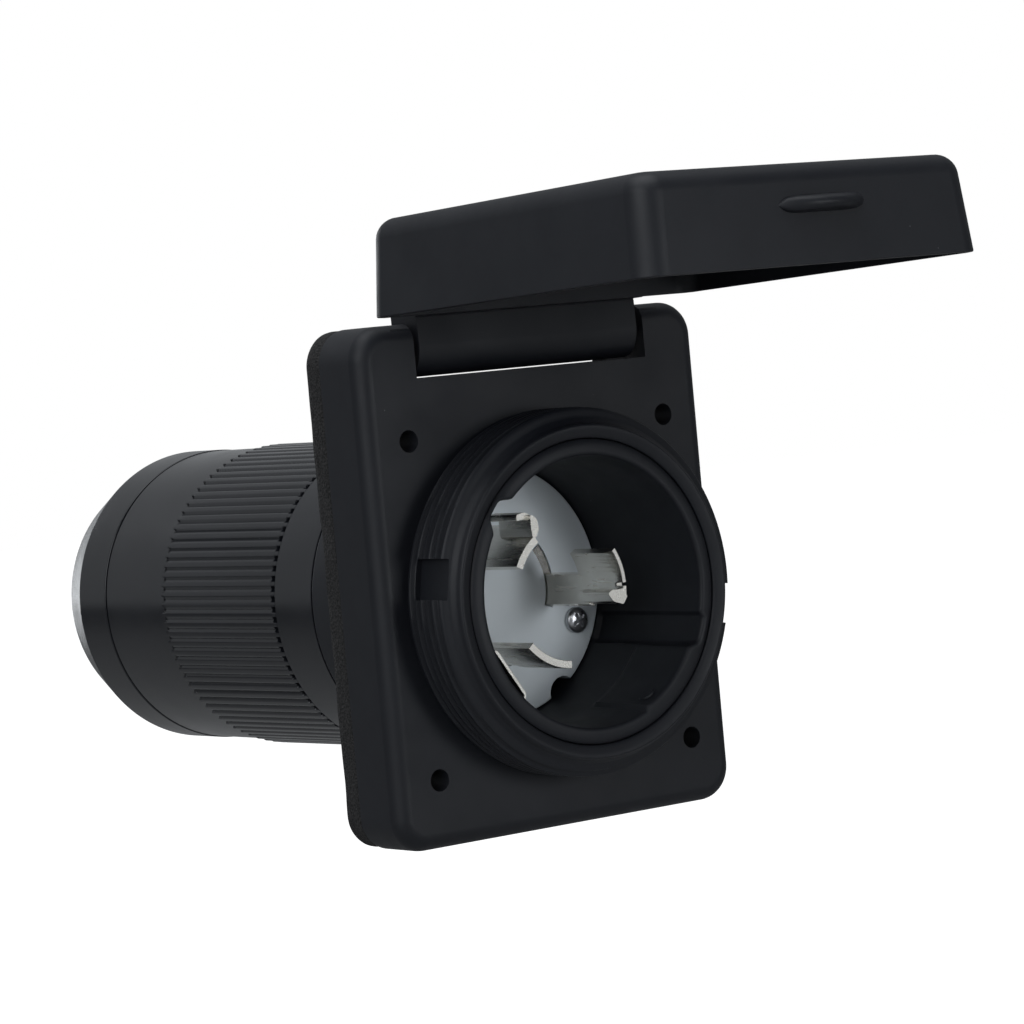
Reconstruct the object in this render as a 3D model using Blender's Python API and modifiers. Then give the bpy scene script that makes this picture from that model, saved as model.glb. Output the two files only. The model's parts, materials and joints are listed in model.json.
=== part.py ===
"""Flush-mounted twist-lock power inlet with a hinged cover.

Frame: +Z up, -Y out of the wall towards the plug, +Y into the wall.
Origin: on the cup's axis, in the plane of the wall (the foam gasket's back face).
Lengths below are in millimetres; MM turns them into metres.
"""
from math import cos, pi, radians, sin

import bmesh
import bpy
from mathutils import Matrix

MM = 0.001
GAP = 0.3                  # clearance kept between touching pieces
RING_STEPS = 48            # facets round the large turned pieces
SMALL_STEPS = 16           # facets round screws and holes
TINY_STEPS = 10            # facets round the hidden screw holes
CUT = 1.0                  # how far a cutting tool reaches past what it cuts

# flange and gasket
HALF_WIDTH = 49.0
TOP_Z = 64.6
BOTTOM_Z = -54.6
CORNER_R = 8.0
EDGE_R = 4.0
FRONT_Y = -21.5
FLANGE_BACK_Y = -6.0
SHELL_T = 3.0
GASKET_FRONT_Y = FLANGE_BACK_Y + GAP
GASKET_HOLE_R = 38.6
GASKET_WINDOW_X = (-34.0, 34.0)
GASKET_WINDOW_Z = (50.6, 59.0)
HOLE_X = 37.0
HOLE_Z = (38.15, -38.89)
HOLE_R = 2.55
BOSS_R = 5.0
INSIDE_Y = (FRONT_Y + 1.0, FLANGE_BACK_Y - 0.5)    # bosses and hinge walls inside the shell

# threaded collar and cup
COLLAR_R = 42.4
COLLAR_EDGE_Y = -34.07
COLLAR_FRONT_R = 38.0
COLLAR_FRONT_Y = -37.8
BORE_R = 35.2
BORE_FRONT_Y = -35.7
HUB_BACK_Y = -16.0
NOTCH_HALF = 4.65
NOTCH_FLOOR_R = 39.9
NOTCH_BACK_Y = -24.5
NOTCH_TURN = -10.0         # degrees, both notches lie on one tilted diameter
SEAL_R = 37.3
SEAL_FRONT_Y = -18.0
CUP_R = 34.9
CUP_MOUTH_R = 31.2
CUP_MOUTH_Y = -37.4
CUP_FLOOR_R = 30.4
SHOULDER_R = 42.0
SHOULDER_Y = (-15.7, -12.7)
NECK_R = 34.4
TAIL_RING_R = 37.5
TAIL_RING_Y = (14.5, 23.2)
TAIL_THREAD_R = 35.0
TAIL_END_Y = 37.0
LEDGE_R = 20.5
LEDGE_Y = (10.8, 15.8)
BODY_SCREW_R = 39.6        # radius of the circle of the four body screws
BODY_SCREW_ANGLES = (45.0, 135.0, 225.0, 315.0)
PILOT_R = 1.5
PILOT_Y = (-27.0, -10.0)
CLEAR_R = 1.6
THREAD_HOLE_R = 1.9        # round the 3.2 mm screw shanks

# hinge and lid, in the lid's own axes about the pin: Y along the lid, Z through it
PIN_Y = -15.5
PIN_Z = 59.6
PIN_R = 1.5
PIN_HALF = 36.2
PIN_HOLE_R = 1.8
LID_REST_TILT = 1.49       # degrees above level
NOTCH_HALF_X = 33.2
NOTCH_Z = 52.1
CHEEK_HALF_X = 38.5
CHEEK_Z = 49.8
LID_HALF_X = 47.0
LID_NEAR_Y = -8.2
LID_LENGTH = 101.3
LID_RIM_Z = 6.5
LID_DEPTH = 21.8
LID_DRAFT = 1.5
LID_T = 1.7
LID_CORNER_R = 6.0
LID_EDGE_R = 4.5
LEAF_HALF_X = 31.6
LEAF_FRONT_Y = -5.8
LEAF_BACK_Y = 4.4
BARREL_R = 5.8
BARREL_DROP = 7.2          # below the pin
LEAF_ARM_Z = 4.0
SHELF_TOP_Z = 8.8
SHELF_OVERLAP = 0.2        # the leaf's shelf runs into the lid's rim
LIP_X = 2.2
LIP_Z = 19.2
LIP_HALF = 12.0
LIP_REACH = 4.6
LIP_T = 3.2
LIP_ROOT = 2.2             # depth of the lip's root in the skirt
LID_SEAL_R = (35.0, 40.0)
LID_SEAL_Z = (22.7, 25.8)

# contacts: three curved blades on one circle, and the earth strap by the cup wall
CARRIER_R = 30.1
CARRIER_Y = (0.5, 10.5)
BLADE_R = (14.6, 16.4)
BLADE_ANGLES = {"blade_neutral": 9.0, "blade_line_x": 129.0, "blade_line_y": -111.0}
BLADE_HALF = 27.0          # degrees, the root in the carrier
HEAD_SPANS = {"blade_neutral": (-25.0, 22.0), "blade_line_x": (-9.0, 25.0), "blade_line_y": (-27.0, 17.0)}
LEG_END = 1.0              # degrees past the blade's middle
RELIEF_Y = -17.0
BLADE_FRONT_Y = -27.8
LOCK_NOTCH_Y = (-12.6, 0.8)
ROOT_BACK_Y = 12.0
TANG_HALF = 13.0           # degrees
TANG_END_Y = 46.0
TAB_T = 2.0
TAB_IN_R = 11.2
TAB_OUT_R = 20.6
HOOK_T = 4.4
BEND_OVERLAP = 0.4
TAB_BACK_Y = -12.6
STRAP_ANGLE = -146.4
STRAP_T = 0.8
STRAP_U = 27.6
STRAP_HALF = 9.4
STRAP_FLAT_HALF = 6.6
STRAP_BOW = 0.7
STRAP_FRONT_Y = -34.4
STRAP_NARROWS_Y = -14.0
STRAP_TANG_HALF = 4.0
STRAP_HOLE_R = 2.3
FOOT_INNER_U = 19.5
CARRIER_SCREW_R = 24.0
CARRIER_SCREW_ANGLES = {"carrier_screw_right": -22.6, "carrier_screw_left": 157.4}

KEY_ANGLE = -57.0
KEY_R = 4.0

# screws: head radius, head height, shank radius, length
BODY_SCREW = (2.4, 1.6, 1.2, 12.0)
CARRIER_SCREW = (3.1, 1.7, 1.6, 14.5)
GROUND_SCREW = (3.8, 2.6, 2.0, 13.0)
BLOCK_SCREW = (3.1, 2.0, 1.6, 18.6)

# terminal block behind the cup's ledge
BLOCK_R = 29.8
BLOCK_Y = (16.1, 50.0)
POCKET_U = (12.2, 25.2)
POCKET_HALF = 6.0
POCKET_Y = 34.0
LUG_U = (12.5, 24.9)
LUG_OPEN_U = (13.9, 23.1)
LUG_HALF = 5.7
LUG_OPEN_HALF = 4.3
LUG_Y = (34.3, 47.0)
LUG_SCREW_R = 2.3
LUG_SCREW_U = (18.4, 27.6)
LUG_SLOT_U = 26.4
ACCESS_R = 3.0
COUNTERBORE_R = 3.6
COUNTERBORE_Y = 30.0
WASHER_HALF = 4.0
WASHER_T = 1.0
GROUND_U = 23.2
BLOCK_SCREW_R = 23.5

# rear sleeve, nut and cable entry
SLEEVE_FRONT_Y = 23.6
SLEEVE_R = 37.5
RIB_Y = (39.1, 90.0)
RIB_R = (37.6, 38.0)
RIB_STEP = 0.2
SLEEVE_REAR_R = 37.2
SEAM_Y = 117.8
SLEEVE_BORE_R = 34.6
SLEEVE_LIP_R = 36.6
SEAL_SEAT_R = 35.5
SEAL_SEAT_T = 2.0
THREAD_START_Y = 38.0
SPIGOT_R = 33.2
SPIGOT_BORE_R = 27.0
SPIGOT_END_Y = 128.0
BULKHEAD_R = 15.0
BULKHEAD_Y = (101.0, 104.0)
GROMMET_SEAT_Y = 112.0
GROMMET_R = 26.5
GROMMET_Y = (105.2, 113.0, 126.0)
WASHER_Y = (126.3, 127.7)
NUT_R = 37.4
NUT_THREAD_R = 33.5
NUT_CONE_Y = 130.8
NUT_WALL_Y = (128.4, 131.6)
NUT_END_Y = 146.0
NUT_END_R = 31.2
NUT_RIM_R = 28.0
CABLE_R = 12.5

MATERIALS = {
    "black_satin": ((0.020, 0.021, 0.023), 0.45, 0.0),
    "black_gloss": ((0.012, 0.012, 0.014), 0.15, 0.0),
    "foam": ((0.022, 0.019, 0.017), 0.95, 0.0),
    "rubber": ((0.030, 0.030, 0.030), 0.80, 0.0),
    "grey_plastic": ((0.33, 0.36, 0.38), 0.45, 0.0),
    "nickel": ((0.62, 0.59, 0.54), 0.25, 1.0),
    "steel": ((0.55, 0.56, 0.58), 0.30, 1.0),
    "brass": ((0.72, 0.52, 0.22), 0.30, 1.0),
    "green": ((0.03, 0.22, 0.07), 0.40, 0.6),
    "red_brown": ((0.16, 0.05, 0.03), 0.55, 0.0),
}


# ---------- scene and object helpers ----------

def clear_scene():
    for obj in list(bpy.data.objects):
        bpy.data.objects.remove(obj, do_unlink=True)


def new_collection(name):
    group = bpy.data.collections.new(name)
    bpy.context.scene.collection.children.link(group)
    return group


def make_material(name):
    colour, roughness, metallic = MATERIALS[name]
    mat = bpy.data.materials.get(name) or bpy.data.materials.new(name)
    mat.use_nodes = True
    shader = mat.node_tree.nodes["Principled BSDF"]
    shader.inputs["Base Color"].default_value = (*colour, 1.0)
    shader.inputs["Roughness"].default_value = roughness
    shader.inputs["Metallic"].default_value = metallic
    return mat


def move_to(obj, group):
    for owner in list(obj.users_collection):
        owner.objects.unlink(obj)
    group.objects.link(obj)


def mesh_object(name, mesh, group):
    obj = bpy.data.objects.new(name, mesh)
    group.objects.link(obj)
    return obj


def apply_transform(obj):
    """Write the object's placement into its mesh."""
    bpy.context.view_layer.update()
    obj.data.transform(obj.matrix_world)
    obj.matrix_world = Matrix.Identity(4)


def apply_modifiers(obj):
    """Replace the mesh with its modified self."""
    bpy.context.view_layer.update()
    graph = bpy.context.evaluated_depsgraph_get()
    mesh = bpy.data.meshes.new_from_object(obj.evaluated_get(graph))
    obj.modifiers.clear()
    obj.data = mesh


def turn_about_axis(obj, degrees):
    """Turn about the cup's axis, from +X towards +Z."""
    obj.data.transform(Matrix.Rotation(-radians(degrees), 4, "Y"))


# ---------- shape helpers ----------

def turned(name, profile, steps=RING_STEPS):
    """A ring or a solid turned about the Y axis from (radius, y) corners of a closed section."""
    area = sum(a[0] * b[1] - b[0] * a[1] for a, b in zip(profile, profile[1:] + profile[:1]))
    corners = profile if area < 0.0 else profile[::-1]
    verts = [(r * MM, 0.0, y * MM) for r, y in corners]
    count = len(verts)
    mesh = bpy.data.meshes.new(name)
    mesh.from_pydata(verts, [(i, (i + 1) % count) for i in range(count)], [])
    obj = mesh_object(name, mesh, CUTTERS)
    screw = obj.modifiers.new("turn", "SCREW")
    screw.steps = steps
    screw.render_steps = steps
    screw.use_merge_vertices = True
    screw.merge_threshold = 0.00001
    apply_modifiers(obj)
    obj.rotation_euler.x = -pi / 2.0
    apply_transform(obj)
    return obj


def bar(name, radius, y_span, steps=SMALL_STEPS):
    """A round bar along Y on the cup's axis."""
    length = (y_span[1] - y_span[0]) * MM
    middle = (y_span[0] + y_span[1]) / 2.0 * MM
    bpy.ops.mesh.primitive_cylinder_add(vertices=steps, radius=radius * MM, depth=length,
                                        location=(0.0, middle, 0.0), rotation=(pi / 2.0, 0.0, 0.0))
    obj = bpy.context.active_object
    obj.name = name
    move_to(obj, CUTTERS)
    apply_transform(obj)
    return obj


def bar_at(name, radius, y_span, x, z, steps=SMALL_STEPS):
    obj = bar(name, radius, y_span, steps)
    obj.data.transform(Matrix.Translation((x * MM, 0.0, z * MM)))
    return obj


def cross_bar(name, radius, half, y, z, steps=SMALL_STEPS):
    """A round bar along X."""
    bpy.ops.mesh.primitive_cylinder_add(vertices=steps, radius=radius * MM, depth=2.0 * half * MM,
                                        location=(0.0, y * MM, z * MM), rotation=(0.0, pi / 2.0, 0.0))
    obj = bpy.context.active_object
    obj.name = name
    move_to(obj, CUTTERS)
    apply_transform(obj)
    return obj


def block(name, x_span, y_span, z_span):
    spans = (x_span, y_span, z_span)
    centre = [(a + b) / 2.0 * MM for a, b in spans]
    size = [(b - a) * MM for a, b in spans]
    bpy.ops.mesh.primitive_cube_add(size=1.0, location=centre)
    obj = bpy.context.active_object
    obj.name = name
    obj.scale = size
    move_to(obj, CUTTERS)
    apply_transform(obj)
    return obj


def outline_solid(name, loops, y_span):
    """Closed (x, z) loops, filled and extruded along Y; a loop inside another is a hole."""
    curve = bpy.data.curves.new(name, "CURVE")
    curve.dimensions = "2D"
    curve.fill_mode = "BOTH"
    curve.extrude = (y_span[1] - y_span[0]) / 2.0 * MM
    for loop in loops:
        spline = curve.splines.new("POLY")
        spline.points.add(len(loop) - 1)
        for point, (x, z) in zip(spline.points, loop):
            point.co = (x * MM, z * MM, 0.0, 1.0)
        spline.use_cyclic_u = True
    guide = bpy.data.objects.new(name + "_outline", curve)
    CUTTERS.objects.link(guide)
    guide.rotation_euler.x = pi / 2.0
    guide.location.y = (y_span[0] + y_span[1]) / 2.0 * MM
    bpy.context.view_layer.update()
    graph = bpy.context.evaluated_depsgraph_get()
    mesh = bpy.data.meshes.new_from_object(guide.evaluated_get(graph))
    mesh.transform(guide.matrix_world)
    bpy.data.objects.remove(guide)
    obj = mesh_object(name, mesh, CUTTERS)
    weld(obj)
    return obj


def weld(obj):
    shape = bmesh.new()
    shape.from_mesh(obj.data)
    bmesh.ops.remove_doubles(shape, verts=shape.verts, dist=0.00001)
    bmesh.ops.recalc_face_normals(shape, faces=shape.faces)
    shape.to_mesh(obj.data)
    shape.free()


def circle_loop(radius, steps, x=0.0, z=0.0):
    return [(x + radius * cos(2.0 * pi * i / steps), z + radius * sin(2.0 * pi * i / steps))
            for i in range(steps)]


def rounded_loop(x_span, z_span, radius, steps=6):
    loop = []
    corners = ((x_span[1], z_span[1], 0), (x_span[0], z_span[1], 90),
               (x_span[0], z_span[0], 180), (x_span[1], z_span[0], 270))
    for x, z, start in corners:
        cx = x - radius if start in (0, 270) else x + radius
        cz = z - radius if start in (0, 90) else z + radius
        for i in range(steps + 1):
            a = radians(start + 90.0 * i / steps)
            loop.append((cx + radius * cos(a), cz + radius * sin(a)))
    return loop


def rectangle_loop(x_span, z_span):
    return [(x_span[1], z_span[1]), (x_span[0], z_span[1]), (x_span[0], z_span[0]), (x_span[1], z_span[0])]


def arc_points(radius, start, end, steps):
    return [(radius * cos(radians(start + (end - start) * i / steps)),
             radius * sin(radians(start + (end - start) * i / steps))) for i in range(steps + 1)]


def sector_loop(inner, outer, start, end, steps=6):
    """Outline of a ring sector between two angles in degrees."""
    return arc_points(outer, start, end, steps) + arc_points(inner, end, start, steps)


def sector(name, radii, angles, y_span, steps=6):
    return outline_solid(name, [sector_loop(radii[0], radii[1], angles[0], angles[1], steps)], y_span)


def combine(target, tool, operation):
    """Apply one exact Boolean and drop the tool."""
    cut = target.modifiers.new(operation.lower(), "BOOLEAN")
    cut.operation = operation
    cut.solver = "EXACT"
    cut.object = tool
    apply_modifiers(target)
    bpy.data.objects.remove(tool, do_unlink=True)


def subtract(target, *tools):
    for tool in tools:
        combine(target, tool, "DIFFERENCE")


def join(target, *tools):
    for tool in tools:
        combine(target, tool, "UNION")


def finish(obj, name, material, rounded=True):
    """Name a finished piece, shade it and put it with the parts."""
    obj.name = name
    obj.data.name = name
    weld(obj)
    obj.data.materials.clear()
    obj.data.materials.append(make_material(material))
    if rounded:
        obj.data.shade_smooth()
        obj.data.set_sharp_from_angle(angle=radians(35.0))
    move_to(obj, PARTS)
    return obj


def polar(radius, degrees):
    return radius * cos(radians(degrees)), radius * sin(radians(degrees))


# ---------- flange, gasket and cup ----------

def open_box_shell(name, x_span, y_span, z_span, corner_r, edge_r, thickness):
    """A box with no back: rounded corners, rounded front edge, walls inside its outer size."""
    obj = block(name, x_span, y_span, z_span)
    shape = bmesh.new()
    shape.from_mesh(obj.data)
    back = [f for f in shape.faces if f.normal.y > 0.9]
    bmesh.ops.delete(shape, geom=back, context="FACES")
    along = [e for e in shape.edges if abs(e.verts[0].co.y - e.verts[1].co.y) > MM]
    bmesh.ops.bevel(shape, geom=along, offset=corner_r * MM, segments=5, profile=0.5, affect="EDGES")
    front = [e for e in shape.edges
             if not e.is_boundary and all(v.co.y < (y_span[0] + 0.01) * MM for v in e.verts)]
    bmesh.ops.bevel(shape, geom=front, offset=edge_r * MM, segments=3, profile=0.5, affect="EDGES")
    shape.to_mesh(obj.data)
    shape.free()
    solid = obj.modifiers.new("walls", "SOLIDIFY")
    solid.thickness = thickness * MM
    solid.offset = -1.0
    solid.use_even_offset = True
    apply_modifiers(obj)
    return obj


def collar_section():
    return [(BORE_R, BORE_FRONT_Y), (COLLAR_FRONT_R, COLLAR_FRONT_Y), (COLLAR_R, COLLAR_EDGE_Y),
            (COLLAR_R, HUB_BACK_Y), (SEAL_R, HUB_BACK_Y), (SEAL_R, SEAL_FRONT_Y), (BORE_R, SEAL_FRONT_Y)]


def build_flange():
    flange = open_box_shell("flange", (-HALF_WIDTH, HALF_WIDTH), (FRONT_Y, FLANGE_BACK_Y),
                            (BOTTOM_Z, TOP_Z), CORNER_R, EDGE_R, SHELL_T)
    hinge_walls = block("hinge_walls", (-CHEEK_HALF_X, CHEEK_HALF_X),
                        INSIDE_Y, (CHEEK_Z, TOP_Z - 1.0))
    join(flange, hinge_walls)
    for side in (-1.0, 1.0):
        for z in HOLE_Z:
            join(flange, bar_at("boss", BOSS_R, INSIDE_Y, side * HOLE_X, z))
    subtract(flange, bar("opening", COLLAR_R - 1.0, (-60.0, 10.0), RING_STEPS))
    join(flange, turned("collar", collar_section()))
    for side in (0.0, 180.0):
        notch = block("notch", (NOTCH_FLOOR_R, COLLAR_R + CUT), (COLLAR_FRONT_Y - CUT, NOTCH_BACK_Y),
                      (-NOTCH_HALF, NOTCH_HALF))
        turn_about_axis(notch, side + NOTCH_TURN)
        subtract(flange, notch)
    subtract(flange, block("hinge_notch", (-NOTCH_HALF_X, NOTCH_HALF_X), (-30.0, 5.0), (NOTCH_Z, 80.0)))
    subtract(flange, cross_bar("pin_hole", PIN_HOLE_R, PIN_HALF + GAP, PIN_Y, PIN_Z))
    for side in (-1.0, 1.0):
        for z in HOLE_Z:
            subtract(flange, bar_at("hole", HOLE_R, (-40.0, 10.0), side * HOLE_X, z))
    for angle in BODY_SCREW_ANGLES:
        x, z = polar(BODY_SCREW_R, angle)
        subtract(flange, bar_at("pilot", PILOT_R, PILOT_Y, x, z, TINY_STEPS))
    finish(flange, "flange_housing", "black_satin")


def build_gasket():
    loops = [rounded_loop((-HALF_WIDTH, HALF_WIDTH), (BOTTOM_Z, TOP_Z), CORNER_R),
             circle_loop(GASKET_HOLE_R, RING_STEPS)]
    for side in (-1.0, 1.0):
        for z in HOLE_Z:
            loops.append(circle_loop(HOLE_R + GAP, 12, side * HOLE_X, z))
    loops.append(rectangle_loop(GASKET_WINDOW_X, GASKET_WINDOW_Z))
    gasket = outline_solid("gasket", loops, (GASKET_FRONT_Y, 0.0))
    finish(gasket, "foam_gasket", "foam")


def build_cup():
    section = [(CUP_MOUTH_R, CUP_MOUTH_Y), (CUP_R, CUP_MOUTH_Y + 1.2), (CUP_R, SHOULDER_Y[0]),
               (SHOULDER_R, SHOULDER_Y[0]), (SHOULDER_R, SHOULDER_Y[1]), (NECK_R, SHOULDER_Y[1]),
               (NECK_R, TAIL_RING_Y[0]), (TAIL_RING_R, TAIL_RING_Y[0]), (TAIL_RING_R, TAIL_RING_Y[1]),
               (TAIL_THREAD_R, TAIL_RING_Y[1]), (TAIL_THREAD_R, TAIL_END_Y), (CUP_FLOOR_R, TAIL_END_Y),
               (CUP_FLOOR_R, LEDGE_Y[1]), (LEDGE_R, LEDGE_Y[1]), (LEDGE_R, LEDGE_Y[0]),
               (CUP_FLOOR_R, LEDGE_Y[0]), (CUP_FLOOR_R, CARRIER_Y[0])]
    cup = turned("cup", section)
    through_ledge = (LEDGE_Y[0] - CUT, LEDGE_Y[1] + CUT)
    for angle in BODY_SCREW_ANGLES:
        x, z = polar(BODY_SCREW_R, angle)
        subtract(cup, bar_at("clear", CLEAR_R, (SHOULDER_Y[0] - CUT, SHOULDER_Y[1] + CUT), x, z, TINY_STEPS))
    for angle in CARRIER_SCREW_ANGLES.values():
        x, z = polar(CARRIER_SCREW_R, angle)
        subtract(cup, bar_at("thread", THREAD_HOLE_R, through_ledge, x, z, TINY_STEPS))
    for angle in block_screw_angles():
        x, z = polar(BLOCK_SCREW_R, angle)
        subtract(cup, bar_at("thread", THREAD_HOLE_R, through_ledge, x, z, TINY_STEPS))
    slot = block("slot", (STRAP_U - GAP, STRAP_U + STRAP_T + GAP), through_ledge,
                 (-STRAP_TANG_HALF - GAP, STRAP_TANG_HALF + GAP))
    turn_about_axis(slot, STRAP_ANGLE)
    subtract(cup, slot)
    finish(cup, "inlet_cup", "black_gloss")


def build_body_screws():
    for i, angle in enumerate(BODY_SCREW_ANGLES, start=1):
        x, z = polar(BODY_SCREW_R, angle)
        screw = pan_screw("screw", *BODY_SCREW, TINY_STEPS)
        screw.data.transform(Matrix.Translation((x * MM, (SHOULDER_Y[1] + GAP) * MM, z * MM)))
        finish(screw, f"body_screw_{i}", "steel")


def pan_screw(name, head_r, head_t, shank_r, length, steps=12):
    """A cross-head screw along Y: head over y > 0, shank over y < 0."""
    section = [(0.0, head_t), (head_r * 0.7, head_t), (head_r, head_t * 0.45), (head_r, 0.0),
               (shank_r, 0.0), (shank_r, -length + shank_r), (0.0, -length)]
    screw = turned(name, section, steps)
    for turn in (0.0, 90.0):
        slot = block("slot", (-head_r * 0.62, head_r * 0.62), (head_t * 0.35, head_t + 1.0), (-0.3, 0.3))
        turn_about_axis(slot, turn)
        subtract(screw, slot)
    return screw


# ---------- hinge and lid ----------

def leaf_section():
    """Side view of the hinge leaf in (y, z) about the pin: shelf, leaf and round barrel."""
    wall_middle = LID_NEAR_Y - LID_T / 2.0
    shelf_z = LID_RIM_Z - SHELF_OVERLAP
    barrel = [(y, z * BARREL_DROP / BARREL_R if z < 0.0 else z)
              for y, z in arc_points(BARREL_R, 180.0, 380.0, 16)]
    top = [(LEAF_BACK_Y, LEAF_ARM_Z), (LEAF_BACK_Y, SHELF_TOP_Z), (wall_middle, SHELF_TOP_Z),
           (wall_middle, shelf_z)]
    return [(LEAF_FRONT_Y, shelf_z)] + barrel + top


def build_leaf():
    leaf = outline_solid("leaf", [leaf_section()], (-LEAF_HALF_X, LEAF_HALF_X))
    leaf.data.transform(Matrix.Rotation(pi / 2.0, 4, "Z"))
    weld(leaf)
    return leaf


def build_lip():
    """The finger lip: a lens-shaped ledge on the front skirt."""
    steps = 10
    shares = [1.0 - 2.0 * i / steps for i in range(steps + 1)]
    far = [(LIP_X + LIP_HALF * share, -LIP_REACH * (1.0 - share ** 2)) for share in shares]
    root = [(LIP_X - LIP_HALF, LIP_ROOT), (LIP_X + LIP_HALF, LIP_ROOT)]
    lip = outline_solid("lip", [far + root], (-LIP_T / 2.0, LIP_T / 2.0))
    lip.data.transform(Matrix.Rotation(-pi / 2.0, 4, "X"))
    lip.data.transform(Matrix.Translation((0.0, (LID_NEAR_Y - LID_LENGTH + 0.9) * MM, LIP_Z * MM)))
    weld(lip)
    return lip


def lid_pan():
    """The lid's roof and skirts, open at the rim, narrowing to the roof by the draft."""
    far_y = LID_NEAR_Y - LID_LENGTH
    obj = block("lid", (-LID_HALF_X, LID_HALF_X), (far_y, LID_NEAR_Y), (LID_RIM_Z, LID_RIM_Z + LID_DEPTH))
    middle = (far_y + LID_NEAR_Y) / 2.0 * MM
    shape = bmesh.new()
    shape.from_mesh(obj.data)
    for v in shape.verts:
        if v.co.z > (LID_RIM_Z + 1.0) * MM:
            v.co.x -= LID_DRAFT * MM * (1.0 if v.co.x > 0.0 else -1.0)
            v.co.y -= LID_DRAFT * MM * (1.0 if v.co.y > middle else -1.0)
    rim = [f for f in shape.faces if f.normal.z < -0.9]
    bmesh.ops.delete(shape, geom=rim, context="FACES")
    upright = [e for e in shape.edges if abs(e.verts[0].co.z - e.verts[1].co.z) > MM]
    bmesh.ops.bevel(shape, geom=upright, offset=LID_CORNER_R * MM, segments=4, profile=0.5, affect="EDGES")
    top = (LID_RIM_Z + LID_DEPTH - 0.01) * MM
    roof = [e for e in shape.edges if not e.is_boundary and all(v.co.z > top for v in e.verts)]
    bmesh.ops.bevel(shape, geom=roof, offset=LID_EDGE_R * MM, segments=3, profile=0.5, affect="EDGES")
    shape.to_mesh(obj.data)
    shape.free()
    walls = obj.modifiers.new("walls", "SOLIDIFY")
    walls.thickness = LID_T * MM
    walls.offset = -1.0
    walls.use_even_offset = True
    apply_modifiers(obj)
    return obj


def hinge_frame():
    """An empty on the pin's axis, turned to the lid's open pose."""
    frame = bpy.data.objects.new("lid_hinge", None)
    PARTS.objects.link(frame)
    frame.location = (0.0, PIN_Y * MM, PIN_Z * MM)
    frame.rotation_euler.x = -radians(LID_REST_TILT)
    return frame


def build_lid():
    frame = hinge_frame()
    lid = lid_pan()
    join(lid, build_leaf(), build_lip())
    subtract(lid, cross_bar("pin_hole", PIN_HOLE_R, LEAF_HALF_X + 5.0, 0.0, 0.0))
    finish(lid, "lid", "black_satin")
    lid.parent = frame
    seal = turned("seal", [(LID_SEAL_R[0], LID_SEAL_Z[0]), (LID_SEAL_R[1], LID_SEAL_Z[0]),
                           (LID_SEAL_R[1], LID_SEAL_Z[1]), (LID_SEAL_R[0], LID_SEAL_Z[1])], 36)
    seal.data.transform(Matrix.Rotation(pi / 2.0, 4, "X"))
    seal.data.transform(Matrix.Translation((0.0, -PIN_Z * MM, 0.0)))
    finish(seal, "lid_seal", "foam")
    seal.parent = frame
    pin = cross_bar("pin", PIN_R, PIN_HALF, PIN_Y, PIN_Z)
    finish(pin, "hinge_pin", "steel")


# ---------- contacts ----------

def blade_tab(name):
    """The bent end of a blade: inwards on the neutral blade, outwards with a return on line X."""
    foot_x, foot_z = polar((BLADE_R[0] + BLADE_R[1]) / 2.0, HEAD_SPANS[name][0])
    y_span = (BLADE_FRONT_Y, TAB_BACK_Y)
    if name == "blade_neutral":
        return [block("tab", (TAB_IN_R, foot_x + BEND_OVERLAP), y_span, (foot_z, foot_z + TAB_T))]
    if name == "blade_line_x":
        web = block("tab", (foot_x - BEND_OVERLAP, TAB_OUT_R - 1.0), y_span, (foot_z, foot_z + TAB_T))
        hook = block("hook", (TAB_OUT_R - TAB_T, TAB_OUT_R), y_span,
                     (foot_z + BEND_OVERLAP, foot_z + HOOK_T))
        return [web, hook]
    return []


def build_blade(name):
    """One stamped blade: head, leg beside the lock notch, root in the carrier, tang to its lug."""
    blade = sector(name, BLADE_R, (-BLADE_HALF, BLADE_HALF), (BLADE_FRONT_Y, TANG_END_Y), 8)
    outside = (BLADE_R[0] - 2.0, BLADE_R[1] + 2.0)
    beyond = BLADE_HALF + 5.0
    head = HEAD_SPANS[name]
    trims = [((LEG_END, beyond), LOCK_NOTCH_Y),
             ((head[1], beyond), (BLADE_FRONT_Y - CUT, LOCK_NOTCH_Y[0] + CUT)),
             ((-beyond, head[0]), (BLADE_FRONT_Y - CUT, RELIEF_Y)),
             ((TANG_HALF, beyond), (ROOT_BACK_Y, TANG_END_Y + CUT)),
             ((-beyond, -TANG_HALF), (ROOT_BACK_Y, TANG_END_Y + CUT))]
    subtract(blade, *[sector("trim", outside, angles, y_span) for angles, y_span in trims])
    join(blade, *blade_tab(name))
    turn_about_axis(blade, BLADE_ANGLES[name])
    finish(blade, name, "nickel")


def build_strap():
    """The earth strap: bowed contact by the cup wall, straight tang, foot under the earth screw."""
    u = STRAP_U
    t = STRAP_T
    face = [(u + STRAP_BOW, -STRAP_HALF), (u, -STRAP_FLAT_HALF), (u, STRAP_FLAT_HALF),
            (u + STRAP_BOW, STRAP_HALF)]
    back = [(x + t, z) for x, z in reversed(face)]
    strap = outline_solid("strap", [face + back], (STRAP_FRONT_Y, STRAP_NARROWS_Y))
    foot_y = (BLOCK_Y[1] + GAP, BLOCK_Y[1] + GAP + t)
    z_span = (-STRAP_TANG_HALF, STRAP_TANG_HALF)
    tang = block("tang", (u, u + t), (STRAP_NARROWS_Y - CUT, foot_y[1]), z_span)
    foot = block("foot", (FOOT_INNER_U, u + t / 2.0), foot_y, z_span)
    join(strap, tang, foot)
    subtract(strap, bar_at("hole", STRAP_HOLE_R, (foot_y[0] - CUT, foot_y[1] + CUT), GROUND_U, 0.0))
    turn_about_axis(strap, STRAP_ANGLE)
    finish(strap, "ground_strap", "nickel")


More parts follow.
